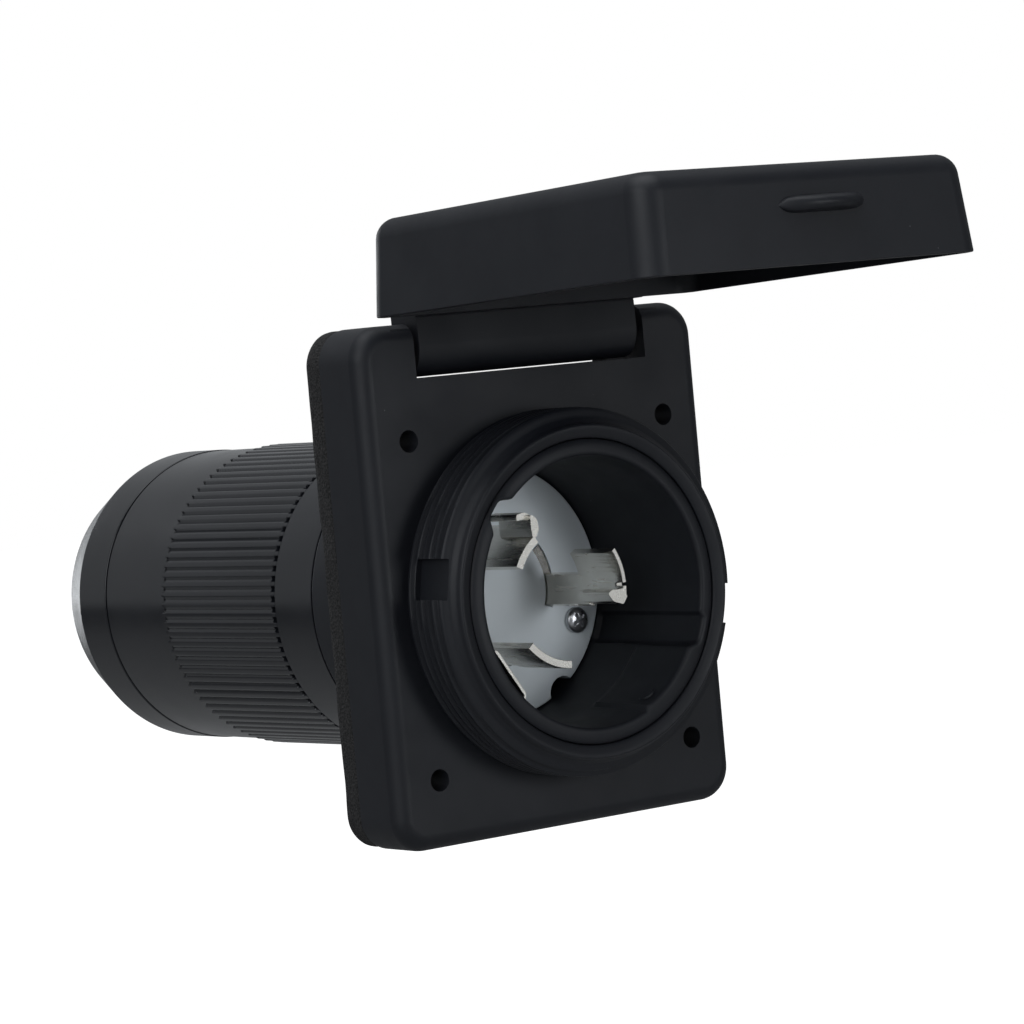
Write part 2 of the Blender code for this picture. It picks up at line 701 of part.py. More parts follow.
def build_carrier():
    carrier = bar("carrier", CARRIER_R, CARRIER_Y, RING_STEPS)
    through = (CARRIER_Y[0] - CUT, CARRIER_Y[1] + CUT)
    for angle in BLADE_ANGLES.values():
        slot = sector("slot", (BLADE_R[0] - GAP, BLADE_R[1] + GAP), (-BLADE_HALF - 1.2, BLADE_HALF + 1.2),
                      through, 8)
        turn_about_axis(slot, angle)
        subtract(carrier, slot)
    strap_slot = block("slot", (STRAP_U - GAP, STRAP_U + STRAP_T + GAP), through,
                       (-STRAP_TANG_HALF - GAP, STRAP_TANG_HALF + GAP))
    turn_about_axis(strap_slot, STRAP_ANGLE)
    subtract(carrier, strap_slot)
    key_x, key_z = polar(CARRIER_R + 1.0, KEY_ANGLE)
    subtract(carrier, bar_at("key", KEY_R, through, key_x, key_z))
    for angle in CARRIER_SCREW_ANGLES.values():
        x, z = polar(CARRIER_SCREW_R, angle)
        subtract(carrier, bar_at("hole", THREAD_HOLE_R, through, x, z, TINY_STEPS))
    finish(carrier, "contact_carrier", "grey_plastic")


def build_carrier_screws():
    for name, angle in CARRIER_SCREW_ANGLES.items():
        screw = pan_screw("screw", *CARRIER_SCREW, SMALL_STEPS)
        screw.data.transform(Matrix.Rotation(pi, 4, "Z"))
        x, z = polar(CARRIER_SCREW_R, angle)
        screw.data.transform(Matrix.Translation((x * MM, (CARRIER_Y[0] - GAP) * MM, z * MM)))
        finish(screw, name, "steel")


# ---------- terminals ----------

def block_screw_angles():
    return [angle + 60.0 for angle in BLADE_ANGLES.values()]


def build_terminal_block():
    body = bar("block", BLOCK_R, BLOCK_Y, RING_STEPS)
    for angle in BLADE_ANGLES.values():
        slot = sector("slot", (BLADE_R[0] - GAP, BLADE_R[1] + GAP), (-TANG_HALF - 1.3, TANG_HALF + 1.3),
                      (BLOCK_Y[0] - CUT, POCKET_Y + CUT))
        pocket = block("pocket", POCKET_U, (POCKET_Y, BLOCK_Y[1] + CUT), (-POCKET_HALF, POCKET_HALF))
        access = bar("access", ACCESS_R, (-BLOCK_R - CUT, -POCKET_U[1] + CUT))
        access.data.transform(Matrix.Rotation(pi / 2.0, 4, "Z"))
        access.data.transform(Matrix.Translation((0.0, screw_y() * MM, 0.0)))
        for tool in (slot, pocket, access):
            turn_about_axis(tool, angle)
            subtract(body, tool)
    groove = block("groove", (STRAP_U - GAP, BLOCK_R + CUT), (BLOCK_Y[0] - CUT, BLOCK_Y[1] + CUT),
                   (-STRAP_TANG_HALF - GAP, STRAP_TANG_HALF + GAP))
    earth = bar_at("earth", STRAP_HOLE_R, (BLOCK_Y[1] - GROUND_SCREW[3], BLOCK_Y[1] + CUT), GROUND_U, 0.0)
    for tool in (groove, earth):
        turn_about_axis(tool, STRAP_ANGLE)
        subtract(body, tool)
    for angle in block_screw_angles():
        x, z = polar(BLOCK_SCREW_R, angle)
        subtract(body, bar_at("hole", THREAD_HOLE_R, (BLOCK_Y[0] - CUT, COUNTERBORE_Y + CUT), x, z, TINY_STEPS))
        subtract(body, bar_at("counterbore", COUNTERBORE_R, (COUNTERBORE_Y, BLOCK_Y[1] + CUT), x, z))
    finish(body, "terminal_block", "red_brown")


def screw_y():
    return (LUG_Y[0] + LUG_Y[1]) / 2.0


def build_lugs():
    for blade, angle in BLADE_ANGLES.items():
        suffix = blade.replace("blade_", "")
        lug = block("lug", LUG_U, LUG_Y, (-LUG_HALF, LUG_HALF))
        subtract(lug, block("wire_way", LUG_OPEN_U, (LUG_Y[0] - CUT, LUG_Y[1] + CUT),
                            (-LUG_OPEN_HALF, LUG_OPEN_HALF)))
        hole = bar("hole", LUG_SCREW_R + GAP, (-LUG_U[1] - CUT, -LUG_OPEN_U[1] + CUT))
        hole.data.transform(Matrix.Rotation(pi / 2.0, 4, "Z"))
        hole.data.transform(Matrix.Translation((0.0, screw_y() * MM, 0.0)))
        subtract(lug, hole)
        turn_about_axis(lug, angle)
        finish(lug, "lug_" + suffix, "brass", rounded=False)
        screw = bar("screw", LUG_SCREW_R, (-LUG_SCREW_U[1], -LUG_SCREW_U[0]))
        subtract(screw, block("slot", (-LUG_SCREW_R - CUT, LUG_SCREW_R + CUT),
                              (-LUG_SCREW_U[1] - CUT, -LUG_SLOT_U), (-0.4, 0.4)))
        screw.data.transform(Matrix.Rotation(pi / 2.0, 4, "Z"))
        screw.data.transform(Matrix.Translation((0.0, screw_y() * MM, 0.0)))
        turn_about_axis(screw, angle)
        finish(screw, "lug_screw_" + suffix, "steel")


def build_ground_terminal():
    top = BLOCK_Y[1] + GAP + STRAP_T
    washer = block("washer", (GROUND_U - WASHER_HALF, GROUND_U + WASHER_HALF),
                   (top + GAP, top + GAP + WASHER_T), (-WASHER_HALF, WASHER_HALF))
    subtract(washer, bar_at("hole", STRAP_HOLE_R, (top, top + GAP + WASHER_T + CUT), GROUND_U, 0.0))
    turn_about_axis(washer, STRAP_ANGLE)
    finish(washer, "ground_washer", "steel", rounded=False)
    screw = pan_screw("screw", *GROUND_SCREW, SMALL_STEPS)
    screw.data.transform(Matrix.Translation((GROUND_U * MM, (top + 2.0 * GAP + WASHER_T) * MM, 0.0)))
    turn_about_axis(screw, STRAP_ANGLE)
    finish(screw, "ground_screw", "green")


def build_block_screws():
    for i, angle in enumerate(block_screw_angles(), start=1):
        screw = pan_screw("screw", *BLOCK_SCREW)
        x, z = polar(BLOCK_SCREW_R, angle)
        screw.data.transform(Matrix.Translation((x * MM, (COUNTERBORE_Y + GAP) * MM, z * MM)))
        finish(screw, f"block_screw_{i}", "steel")


# ---------- seals, rear sleeve and nut ----------

def square_ring(name, radii, y_span, material):
    section = [(radii[0], y_span[0]), (radii[1], y_span[0]), (radii[1], y_span[1]), (radii[0], y_span[1])]
    finish(turned("ring", section), name, material)


def build_seals():
    square_ring("cup_seal", (BORE_R + 0.1, SEAL_R - GAP), (SEAL_FRONT_Y + GAP, HUB_BACK_Y), "rubber")
    square_ring("sleeve_seal", (TAIL_THREAD_R + GAP, 36.3), (TAIL_RING_Y[1] + GAP, 25.3), "rubber")


def build_sleeve():
    front = SLEEVE_FRONT_Y
    section = [(SLEEVE_LIP_R, front), (SLEEVE_R, front), (SLEEVE_R, RIB_Y[0]),
               (RIB_R[0], RIB_Y[0] + RIB_STEP), (RIB_R[1], RIB_Y[1] - RIB_STEP), (SLEEVE_REAR_R, RIB_Y[1]),
               (SLEEVE_REAR_R, SEAM_Y), (SPIGOT_R, SEAM_Y), (SPIGOT_R, SPIGOT_END_Y),
               (SPIGOT_BORE_R, SPIGOT_END_Y), (SPIGOT_BORE_R, GROMMET_SEAT_Y), (BULKHEAD_R, BULKHEAD_Y[1]),
               (BULKHEAD_R, BULKHEAD_Y[0]), (SLEEVE_BORE_R, BULKHEAD_Y[0]), (SLEEVE_BORE_R, THREAD_START_Y),
               (SEAL_SEAT_R, THREAD_START_Y), (SEAL_SEAT_R, front + SEAL_SEAT_T),
               (SLEEVE_LIP_R, front + SEAL_SEAT_T)]
    finish(turned("sleeve", section), "rear_sleeve", "black_gloss")


def build_grommet():
    front_y, shoulder_y, back_y = GROMMET_Y
    section = [(CABLE_R, front_y), (BULKHEAD_R - 0.2, front_y), (GROMMET_R, shoulder_y), (GROMMET_R, back_y),
               (CABLE_R, back_y)]
    finish(turned("grommet", section, 36), "cable_grommet", "rubber")
    square_ring("slip_washer", (CABLE_R + 1.0, GROMMET_R), WASHER_Y, "steel")


def build_nut():
    inner_y, outer_y = NUT_WALL_Y
    section = [(NUT_THREAD_R, SEAM_Y + GAP), (NUT_R, SEAM_Y + GAP), (NUT_R, NUT_CONE_Y),
               (NUT_END_R + 0.5, NUT_END_Y - 1.2), (NUT_END_R - 0.8, NUT_END_Y), (NUT_RIM_R, NUT_END_Y),
               (NUT_THREAD_R - 0.5, outer_y + 2.0), (NUT_THREAD_R - 2.5, outer_y), (CABLE_R + 1.5, outer_y),
               (CABLE_R + 1.5, inner_y), (NUT_THREAD_R, inner_y)]
    finish(turned("nut", section), "rear_nut", "black_gloss")


clear_scene()
PARTS = new_collection("power_inlet")
CUTTERS = new_collection("cutters")
build_flange()
build_gasket()
build_cup()
build_body_screws()
build_lid()
for blade_name in BLADE_ANGLES:
    build_blade(blade_name)
build_strap()
build_carrier()
build_carrier_screws()
build_terminal_block()
build_lugs()
build_ground_terminal()
build_block_screws()
build_seals()
build_sleeve()
build_grommet()
build_nut()
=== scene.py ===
"""Looks of the flush-mounted twist-lock power inlet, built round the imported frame.

Frame: +Z up, -Y out of the wall towards the plug, +Y into the wall.
Origin: on the cup's axis, in the plane of the wall.
Lengths are in millimetres; MM turns them into metres. Angles round the cup go from +X towards +Z.
"""

import json
from math import cos, degrees, pi, radians, sin, tan

import bmesh
import bpy
from mathutils import Matrix, Vector, noise


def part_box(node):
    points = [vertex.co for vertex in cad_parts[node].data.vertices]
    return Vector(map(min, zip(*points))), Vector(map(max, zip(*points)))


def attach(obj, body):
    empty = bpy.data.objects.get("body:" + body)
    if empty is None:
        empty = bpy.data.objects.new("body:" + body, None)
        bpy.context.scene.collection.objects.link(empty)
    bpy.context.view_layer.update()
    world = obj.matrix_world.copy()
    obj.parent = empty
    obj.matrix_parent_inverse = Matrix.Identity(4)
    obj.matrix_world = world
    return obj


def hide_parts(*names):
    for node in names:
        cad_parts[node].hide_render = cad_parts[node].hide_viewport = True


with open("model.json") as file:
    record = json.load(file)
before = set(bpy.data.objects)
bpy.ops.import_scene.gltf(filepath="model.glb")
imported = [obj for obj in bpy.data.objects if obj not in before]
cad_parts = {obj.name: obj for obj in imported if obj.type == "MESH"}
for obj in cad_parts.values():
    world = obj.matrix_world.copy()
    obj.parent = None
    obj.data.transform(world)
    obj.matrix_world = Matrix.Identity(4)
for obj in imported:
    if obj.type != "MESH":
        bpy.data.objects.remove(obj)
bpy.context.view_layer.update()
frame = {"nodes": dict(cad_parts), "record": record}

MM = 0.001

# flange and collar
CORNER_R = 8.0
EDGE_R = 4.0
FRONT_Y = -21.5
SHELL_T = 3.0
HOLE_X = 37.0
HOLE_Z = (38.15, -38.89)
HOLE_R = 2.55
BOSS_R = 5.0
COLLAR_R = 42.4
COLLAR_ROOT_R = 41.3
COLLAR_FRONT_Y = -37.8
BORE_R = 35.08
HUB_BACK_Y = -16.0
THREAD_PITCH = 2.2
THREAD_DEPTH = 1.1
THREAD_Y = (-35.3, -22.4)
TAPER_Y = -33.5
TAPER_END_Y = -35.5
TAPER_DROP = 2.0
NOTCH_HALF = 4.65
NOTCH_FLOOR_R = 39.9
NOTCH_BACK_Y = -24.5
NOTCH_TURN = -10.0
GASKET_HOLE_R = 38.6
GASKET_WINDOW_X = 34.0
GASKET_WINDOW_Z = (50.6, 59.0)
GASKET_INSET = 0.2
GASKET_RIPPLE = 0.32
HINGE_NOTCH_X = 33.2
HINGE_NOTCH_Z = 52.1
CHEEK_HALF_X = 38.5
CHEEK_Z = 49.8
PIN_WAY_R = 1.8

# cup, from its mouth to the end of its tail
CUP_R = 34.9
CUP_MOUTH_R = 31.2
CUP_MOUTH_Y = -37.4
CUP_FLOOR_R = 30.4
CUP_FLANGE_R = 42.0
CUP_FLANGE_Y = (-15.7, -12.7)
TAIL_R = 34.4
TAIL_RING_R = 37.5
TAIL_RING_Y = (14.5, 23.2)
TAIL_THREAD_Y = 24.0
TAIL_THREAD_LENGTH = 12.6
TAIL_THREAD_PITCH = 2.0
TAIL_THREAD_R = (34.55, 0.45)
TAIL_END_Y = 37.0
CUP_FLOOR_Y = (10.8, 15.8)
CUP_FLOOR_HOLE_R = 20.5
KEYWAY_ANGLE = 140.8
SIDE_WAY_ANGLE = -22.4
PAD_ANGLES = (-66.0, -31.5)
PAD_BACK_Y = -16.5
NIB_R = 1.7
NIB_HALF = 0.38
NIB_HEIGHT = 0.45
NIB_SUNK = 0.35
NIB_PLACE = (29.75, -33.0, -59.0)

# lid, in its own axes about the hinge pin
PIN_Y = -15.5
PIN_Z = 59.6
LID_REST_TILT = 1.49
LID_HALF_X = 47.0
LID_NEAR_Y = -8.2
LID_LENGTH = 101.3
LID_RIM_Z = 6.5
LID_DEPTH = 21.8
LID_DRAFT = 1.5
LID_T = 1.7
LID_CORNER_R = 6.0
LID_EDGE_R = 4.5
LEAF_HALF_X = 31.6
LEAF_BACK_Y = 4.4
BARREL_R = 5.8
BARREL_DROP = 7.2
LIP_X = 2.2
LIP_Z = 19.2
LIP_HALF = 12.0
LIP_REACH = 4.9
LIP_T = 3.6

# the cover's seal: radii from the cup's axis, heights above the hinge pin
LID_SEAL_R = (35.0, 40.0)
LID_SEAL_Z = (22.7, 25.8)

# contacts
BLADE_R = (14.6, 16.4)
BLADE_ANGLES = {"blade_neutral": 9.0, "blade_line_x": 129.0, "blade_line_y": -111.0}
BLADE_HALF = 27.0
BLADE_START = -28.0
BLADE_HEADS = {"blade_neutral": (-27.0, 22.5), "blade_line_x": (-27.0, 24.5), "blade_line_y": (-28.0, 16.5)}
LEG_END = 1.0
RELIEF_ANGLES = {"blade_neutral": -21.0, "blade_line_x": -6.0, "blade_line_y": -28.0}
RELIEF_Y = -17.0
SLIT_ANGLE = -13.0
SLIT_Y = (-17.6, -16.4)
LINE_Y_LIFT = 1.3
BLADE_FRONT_Y = -27.8
LOCK_NOTCH_Y = (-12.6, 0.8)
ROOT_BACK_Y = 12.0
TANG_HALF = 13.0
TANG_END_Y = 46.0
TAB_BACK_Y = -15.5
STRAP_ANGLE = -146.4
STRAP_T = 0.8
STRAP_U = 27.6
STRAP_NARROWS_Y = -14.0
STRAP_TANG_HALF = 4.0
STRAP_HOLE_U = 23.2
STRAP_HOLE_R = 2.3
CARRIER_R = 30.1
CARRIER_FACE_Y = 0.5
CARRIER_KEY_R = 4.0
CARRIER_KEY_ANGLE = -57.0
SLOT_GAP = 0.3
CARRIER_SCREW_R = 24.0
CARRIER_SCREW_ANGLES = {"carrier_screw_right": -22.6, "carrier_screw_left": 157.4}
SCREW_HEAD_R = 3.1
SCREW_SHANK_R = (1.28, 1.6)
SCREW_PITCH = 0.7
SCREW_TURN = 28.0

# rear sleeve and nut
RIBS = 96
RIB_Y = (39.1, 90.0)
RIB_R = (37.6, 38.0)
SLEEVE_FRONT_R = 37.5
SLEEVE_BACK_R = 37.2
SLEEVE_BACK_Y = 117.8
SLEEVE_BORE_R = 34.6
SLEEVE_MOUTH_R = 35.5
SLEEVE_MOUTH_Y = 38.0
SLEEVE_FLOOR_Y = 101.0
CABLE_R = 15.0
CONE_SEAT = ((CABLE_R, 104.0), (27.0, 112.0))
SPIGOT_R = 33.2
SPIGOT_Y = (118.6, 126.8)
SPIGOT_PITCH = 1.5
SPIGOT_END_Y = 128.0
NUT_R = 37.4
NUT_CONE_Y = (130.8, 144.8)
NUT_END_R = 31.7
NUT_FACE_Y = (128.4, 131.6)
NUT_HOLE_R = 14.0
GROMMET_R = (12.5, 26.5)
GROMMET_Y = (105.2, 126.0)
WASHER_R = (13.5, 26.5)
WASHER_Y = (126.3, 127.7)

# stage, in millimetres, then lights and camera, in metres
FLOOR_HALF = 6000.0
FLOOR_Z = -260.0
FLOOR_TONE = 0.36
SKY_FRONT = 0.10
SKY_BACK = 0.42
SKY_TINT = (0.93, 0.965, 1.0, 1.0)
LIGHT_TINT = (0.94, 0.97, 1.0)
CAMERA_PLACE = (-0.54377, -0.74097, 0.05826)
CAMERA_TURNS = (36.574, -2.477, -5.176)
CAMERA_LENS = 137.18


# ---------- mesh helpers ----------

def tidy(obj):
    """Merge doubled points and turn all normals outwards."""
    shape = bmesh.new()
    shape.from_mesh(obj.data)
    bmesh.ops.remove_doubles(shape, verts=shape.verts, dist=0.000004)
    bmesh.ops.recalc_face_normals(shape, faces=shape.faces)
    shape.to_mesh(obj.data)
    shape.free()


def new_object(name, verts, faces):
    """A linked object from points in millimetres."""
    mesh = bpy.data.meshes.new(name)
    mesh.from_pydata([(x * MM, y * MM, z * MM) for x, y, z in verts], [], faces)
    obj = bpy.data.objects.new(name, mesh)
    bpy.context.scene.collection.objects.link(obj)
    tidy(obj)
    return obj


def apply_modifiers(obj):
    bpy.context.view_layer.update()
    graph = bpy.context.evaluated_depsgraph_get()
    mesh = bpy.data.meshes.new_from_object(obj.evaluated_get(graph))
    obj.modifiers.clear()
    obj.data = mesh


def filleted(corners, steps=4):
    """Round each (a, b, radius) corner of a closed section."""
    points = []
    for i, (a, b, radius) in enumerate(corners):
        here = Vector((a, b))
        if radius <= 0.0:
            points.append((a, b))
            continue
        before = Vector(corners[i - 1][:2]) - here
        after = Vector(corners[(i + 1) % len(corners)][:2]) - here
        reach = min(radius / tan(before.angle(after) / 2.0), before.length * 0.48, after.length * 0.48)
        start = here + before.normalized() * reach
        end = here + after.normalized() * reach
        for k in range(steps + 1):
            t = k / steps
            p = start * (1.0 - t) ** 2 + here * 2.0 * t * (1.0 - t) + end * t * t
            points.append((p.x, p.y))
    return points


def turned(name, section, steps, shape=None):
    """Turn a closed (radius, y) section about the cup's axis; shape(radius, y, degrees) moves points."""
    count = len(section)
    verts = []
    for i in range(steps):
        angle = 2.0 * pi * i / steps
        for radius, y in section:
            r = shape(radius, y, degrees(angle)) if shape else radius
            verts.append((r * cos(angle), y, r * sin(angle)))
    faces = []
    for i in range(steps):
        j = (i + 1) % steps
        for k in range(count):
            m = (k + 1) % count
            faces.append((i * count + k, j * count + k, j * count + m, i * count + m))
    return new_object(name, verts, faces)


def box(name, x_span, y_span, z_span):
    verts = [(x, y, z) for x in x_span for y in y_span for z in z_span]
    faces = [(0, 1, 3, 2), (4, 6, 7, 5), (0, 4, 5, 1), (2, 3, 7, 6), (0, 2, 6, 4), (1, 5, 7, 3)]
    return new_object(name, verts, faces)


def prism(name, loop, y_span):
    """A closed (x, z) loop extruded along Y."""
    count = len(loop)
    verts = [(x, y, z) for y in y_span for x, z in loop]
    faces = [tuple(range(count)), tuple(range(count, 2 * count))]
    faces += [(i, (i + 1) % count, count + (i + 1) % count, count + i) for i in range(count)]
    return new_object(name, verts, faces)


def bar(name, radius, y_span, x=0.0, z=0.0, steps=48):
    """A round bar along Y."""
    return prism(name, circle(radius, steps, x, z), y_span)


def circle(radius, steps, x, z):
    return [(x + radius * cos(2.0 * pi * i / steps), z + radius * sin(2.0 * pi * i / steps))
            for i in range(steps)]


def arc(radius, start, end, steps):
    return [(radius * cos(radians(start + (end - start) * i / steps)),
             radius * sin(radians(start + (end - start) * i / steps))) for i in range(steps + 1)]


def sector(name, radii, angles, y_span):
    """A piece of a ring between two radii and two angles."""
    loop = arc(radii[1], angles[0], angles[1], 24) + arc(radii[0], angles[1], angles[0], 24)
    return prism(name, loop, y_span)


def rounded_loop(x_span, z_span, radius, steps, side_steps):
    """A rounded rectangle with side_steps pieces along each straight side."""
    left, right = x_span[0] + radius, x_span[1] - radius
    bottom, top = z_span[0] + radius, z_span[1] - radius
    corners = []
    for cx, cz, start in ((right, top, 0), (left, top, 90), (left, bottom, 180), (right, bottom, 270)):
        corners.append([(cx + x, cz + z) for x, z in arc(radius, start, start + 90.0, steps)])
    loop = []
    for i, corner in enumerate(corners):
        loop += corner
        here, there = corner[-1], corners[(i + 1) % 4][0]
        for k in range(1, side_steps):
            t = k / side_steps
            loop.append((here[0] + (there[0] - here[0]) * t, here[1] + (there[1] - here[1]) * t))
    return loop


def polar(radius, angle):
    """The (x, z) of a point round the cup's axis."""
    return radius * cos(radians(angle)), radius * sin(radians(angle))


def spin(obj, angle):
    """Turn about the cup's axis, from +X towards +Z."""
    obj.data.transform(Matrix.Rotation(-radians(angle), 4, "Y"))


def shift(obj, x=0.0, y=0.0, z=0.0):
    obj.data.transform(Matrix.Translation((x * MM, y * MM, z * MM)))


def boolean(target, tool, operation):
    cut = target.modifiers.new(operation.lower(), "BOOLEAN")
    cut.operation = operation
    cut.solver = "EXACT"
    cut.object = tool
    apply_modifiers(target)
    bpy.data.objects.remove(tool, do_unlink=True)


def subtract(target, *tools):
    for tool in tools:
        boolean(target, tool, "DIFFERENCE")


def join(target, *tools):
    for tool in tools:
        boolean(target, tool, "UNION")


def soften(obj, width, segments, limit):
    """Small rounds along the edges sharper than limit degrees."""
    shape = bmesh.new()
    shape.from_mesh(obj.data)
    bmesh.ops.remove_doubles(shape, verts=shape.verts, dist=0.000004)
    bmesh.ops.dissolve_limit(shape, angle_limit=radians(0.4), verts=shape.verts, edges=shape.edges)
    shape.to_mesh(obj.data)
    shape.free()
    edges = obj.modifiers.new("edges", "BEVEL")
    edges.width = width * MM
    edges.segments = segments
    edges.limit_method = "ANGLE"
    edges.angle_limit = radians(limit)
    edges.miter_outer = "MITER_ARC"
    apply_modifiers(obj)


def dress(obj, material, body, slot, *nodes):
    """Material, shading, body and the CAD nodes this piece stands for."""
    obj.data.materials.clear()
    obj.data.materials.append(material)
    obj.data.shade_smooth()
    obj.data.set_sharp_from_angle(angle=radians(38.0))
    even = obj.modifiers.new("even_normals", "WEIGHTED_NORMAL")
    even.keep_sharp = True
    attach(obj, body)
    if nodes:
        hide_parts(*nodes)
    return obj


# ---------- materials ----------

class Surface:
    """A Principled material with helpers for its procedural inputs."""

    def __init__(self, name, roughness, metallic=0.0, specular=0.5):
        self.material = bpy.data.materials.new(name)
        self.material.use_nodes = True
        self.nodes = self.material.node_tree.nodes
        self.links = self.material.node_tree.links
        self.shader = self.nodes["Principled BSDF"]
        self.shader.inputs["Roughness"].default_value = roughness
        self.shader.inputs["Metallic"].default_value = metallic
        self.shader.inputs["Specular IOR Level"].default_value = specular
        self.coords = self.nodes.new("ShaderNodeTexCoord").outputs["Object"]

    def stretched(self, scale):
        mapping = self.nodes.new("ShaderNodeMapping")
        mapping.inputs["Scale"].default_value = scale
        self.links.new(self.coords, mapping.inputs["Vector"])
        return mapping.outputs["Vector"]

    def noise(self, scale, detail=4.0, vector=None):
        node = self.nodes.new("ShaderNodeTexNoise")
        node.inputs["Scale"].default_value = scale
        node.inputs["Detail"].default_value = detail
        node.inputs["Roughness"].default_value = 0.55
        self.links.new(vector or self.coords, node.inputs["Vector"])
        return node.outputs["Fac"]

    def cells(self, scale):
        node = self.nodes.new("ShaderNodeTexVoronoi")
        node.inputs["Scale"].default_value = scale
        self.links.new(self.coords, node.inputs["Vector"])
        return node.outputs["Distance"], node.outputs["Color"]

    def ramp(self, value, low, high, out_low=0.0, out_high=1.0):
        node = self.nodes.new("ShaderNodeMapRange")
        node.inputs["From Min"].default_value = low
        node.inputs["From Max"].default_value = high
        node.inputs["To Min"].default_value = out_low
        node.inputs["To Max"].default_value = out_high
        self.links.new(value, node.inputs["Value"])
        return node.outputs["Result"]

    def times(self, a, b):
        node = self.nodes.new("ShaderNodeMath")
        node.operation = "MULTIPLY"
        self.links.new(a, node.inputs[0])
        self.links.new(b, node.inputs[1])
        return node.outputs[0]

    def blend(self, factor, a, b):
        node = self.nodes.new("ShaderNodeMix")
        node.data_type = "RGBA"
        self.links.new(factor, node.inputs["Factor"])
        for socket, colour in ((node.inputs["A"], a), (node.inputs["B"], b)):
            if isinstance(colour, tuple):
                socket.default_value = (*colour, 1.0)
            else:
                self.links.new(colour, socket)
        return node.outputs["Result"]

    def specks(self, scale, size, share):
        """Sparse round specks: 1 inside, 0 outside."""
        distance, colour = self.cells(scale)
        split = self.nodes.new("ShaderNodeSeparateColor")
        self.links.new(colour, split.inputs["Color"])
        near = self.ramp(distance, size * 0.5, size, 1.0, 0.0)
        chosen = self.ramp(split.outputs["Red"], 1.0 - share, 1.0 - share + 0.002)
        return self.times(near, chosen)

    def paint(self, colour):
        self.links.new(colour, self.shader.inputs["Base Color"])

    def gloss(self, value):
        self.links.new(value, self.shader.inputs["Roughness"])

    def relief(self, height, depth):
        """Bump of a depth in millimetres, on top of any bump already there."""
        bump = self.nodes.new("ShaderNodeBump")
        bump.inputs["Strength"].default_value = 1.0
        bump.inputs["Distance"].default_value = depth * MM
        self.links.new(height, bump.inputs["Height"])
        old = self.shader.inputs["Normal"].links
        if old:
            self.links.new(old[0].from_socket, bump.inputs["Normal"])
        self.links.new(bump.outputs["Normal"], self.shader.inputs["Normal"])


def moulded(name, dark, light, roughness, grain_depth, dust=0.0, specular=0.5):
    """Moulded plastic: cloudy tone, fine spark texture and a little dust."""
    s = Surface(name, roughness[0], specular=specular)
    tone = s.blend(s.ramp(s.noise(35.0), 0.3, 0.7), dark, light)
    if dust > 0.0:
        tone = s.blend(s.specks(420.0, 0.075, dust), tone, (0.10, 0.10, 0.11))
    s.paint(tone)
    s.gloss(s.ramp(s.noise(60.0, 6.0), 0.3, 0.7, *roughness))
    s.relief(s.noise(4200.0, 2.0), grain_depth)
    return s.material


def foam_like(name):
    s = Surface(name, 0.92, specular=0.25)
    distance = s.cells(1500.0)[0]
    tone = s.blend(s.ramp(s.noise(2200.0, 3.0), 0.35, 0.7), (0.008, 0.008, 0.0085), (0.034, 0.033, 0.033))
    tone = s.blend(s.specks(1800.0, 0.22, 0.08), tone, (0.062, 0.058, 0.055))
    s.paint(tone)
    s.relief(distance, 0.25)
    s.relief(s.noise(1800.0, 3.0), 0.12)
    return s.material


def metal(name, dark, light, roughness, line_scale=(1.0, 1.0, 1.0)):
    """Plated or plain metal: faint drawn lines, cloudy polish."""
    s = Surface(name, roughness[0], metallic=1.0)
    s.paint(s.blend(s.ramp(s.noise(140.0, 5.0), 0.3, 0.7), dark, light))
    lines = s.noise(700.0, 3.0, s.stretched(line_scale))
    s.gloss(s.ramp(lines, 0.25, 0.75, *roughness))
    s.relief(lines, 0.0015)
    return s.material


MATERIALS = {
    "black_satin": moulded("black_satin", (0.0058, 0.0066, 0.0094), (0.0080, 0.0090, 0.0124),
                           (0.46, 0.60), 0.012, dust=0.02, specular=0.30),
    "black_gloss": moulded("black_gloss", (0.0050, 0.0056, 0.0078), (0.0074, 0.0082, 0.0112),
                           (0.16, 0.26), 0.002, dust=0.02, specular=0.5),
    "foam": foam_like("foam"),
    "rubber": moulded("rubber", (0.012, 0.012, 0.013), (0.022, 0.022, 0.023), (0.65, 0.8), 0.02,
                      specular=0.3),
    "grey_plastic": moulded("grey_plastic", (0.74, 0.80, 0.835), (0.80, 0.86, 0.895), (0.42, 0.52), 0.006),
    "block_plastic": moulded("block_plastic", (0.13, 0.040, 0.025), (0.18, 0.060, 0.035), (0.45, 0.6), 0.012),
    "nickel": metal("nickel", (0.66, 0.64, 0.59), (0.76, 0.74, 0.69), (0.20, 0.30), (1.0, 0.12, 1.0)),
    "steel": metal("steel", (0.50, 0.51, 0.53), (0.60, 0.61, 0.63), (0.24, 0.36)),
    "brass": metal("brass", (0.66, 0.46, 0.18), (0.76, 0.56, 0.26), (0.26, 0.40), (0.2, 1.0, 1.0)),
    "green_screw": metal("green_screw", (0.02, 0.16, 0.05), (0.04, 0.26, 0.09), (0.34, 0.46)),
}


# ---------- flange, collar, gasket ----------

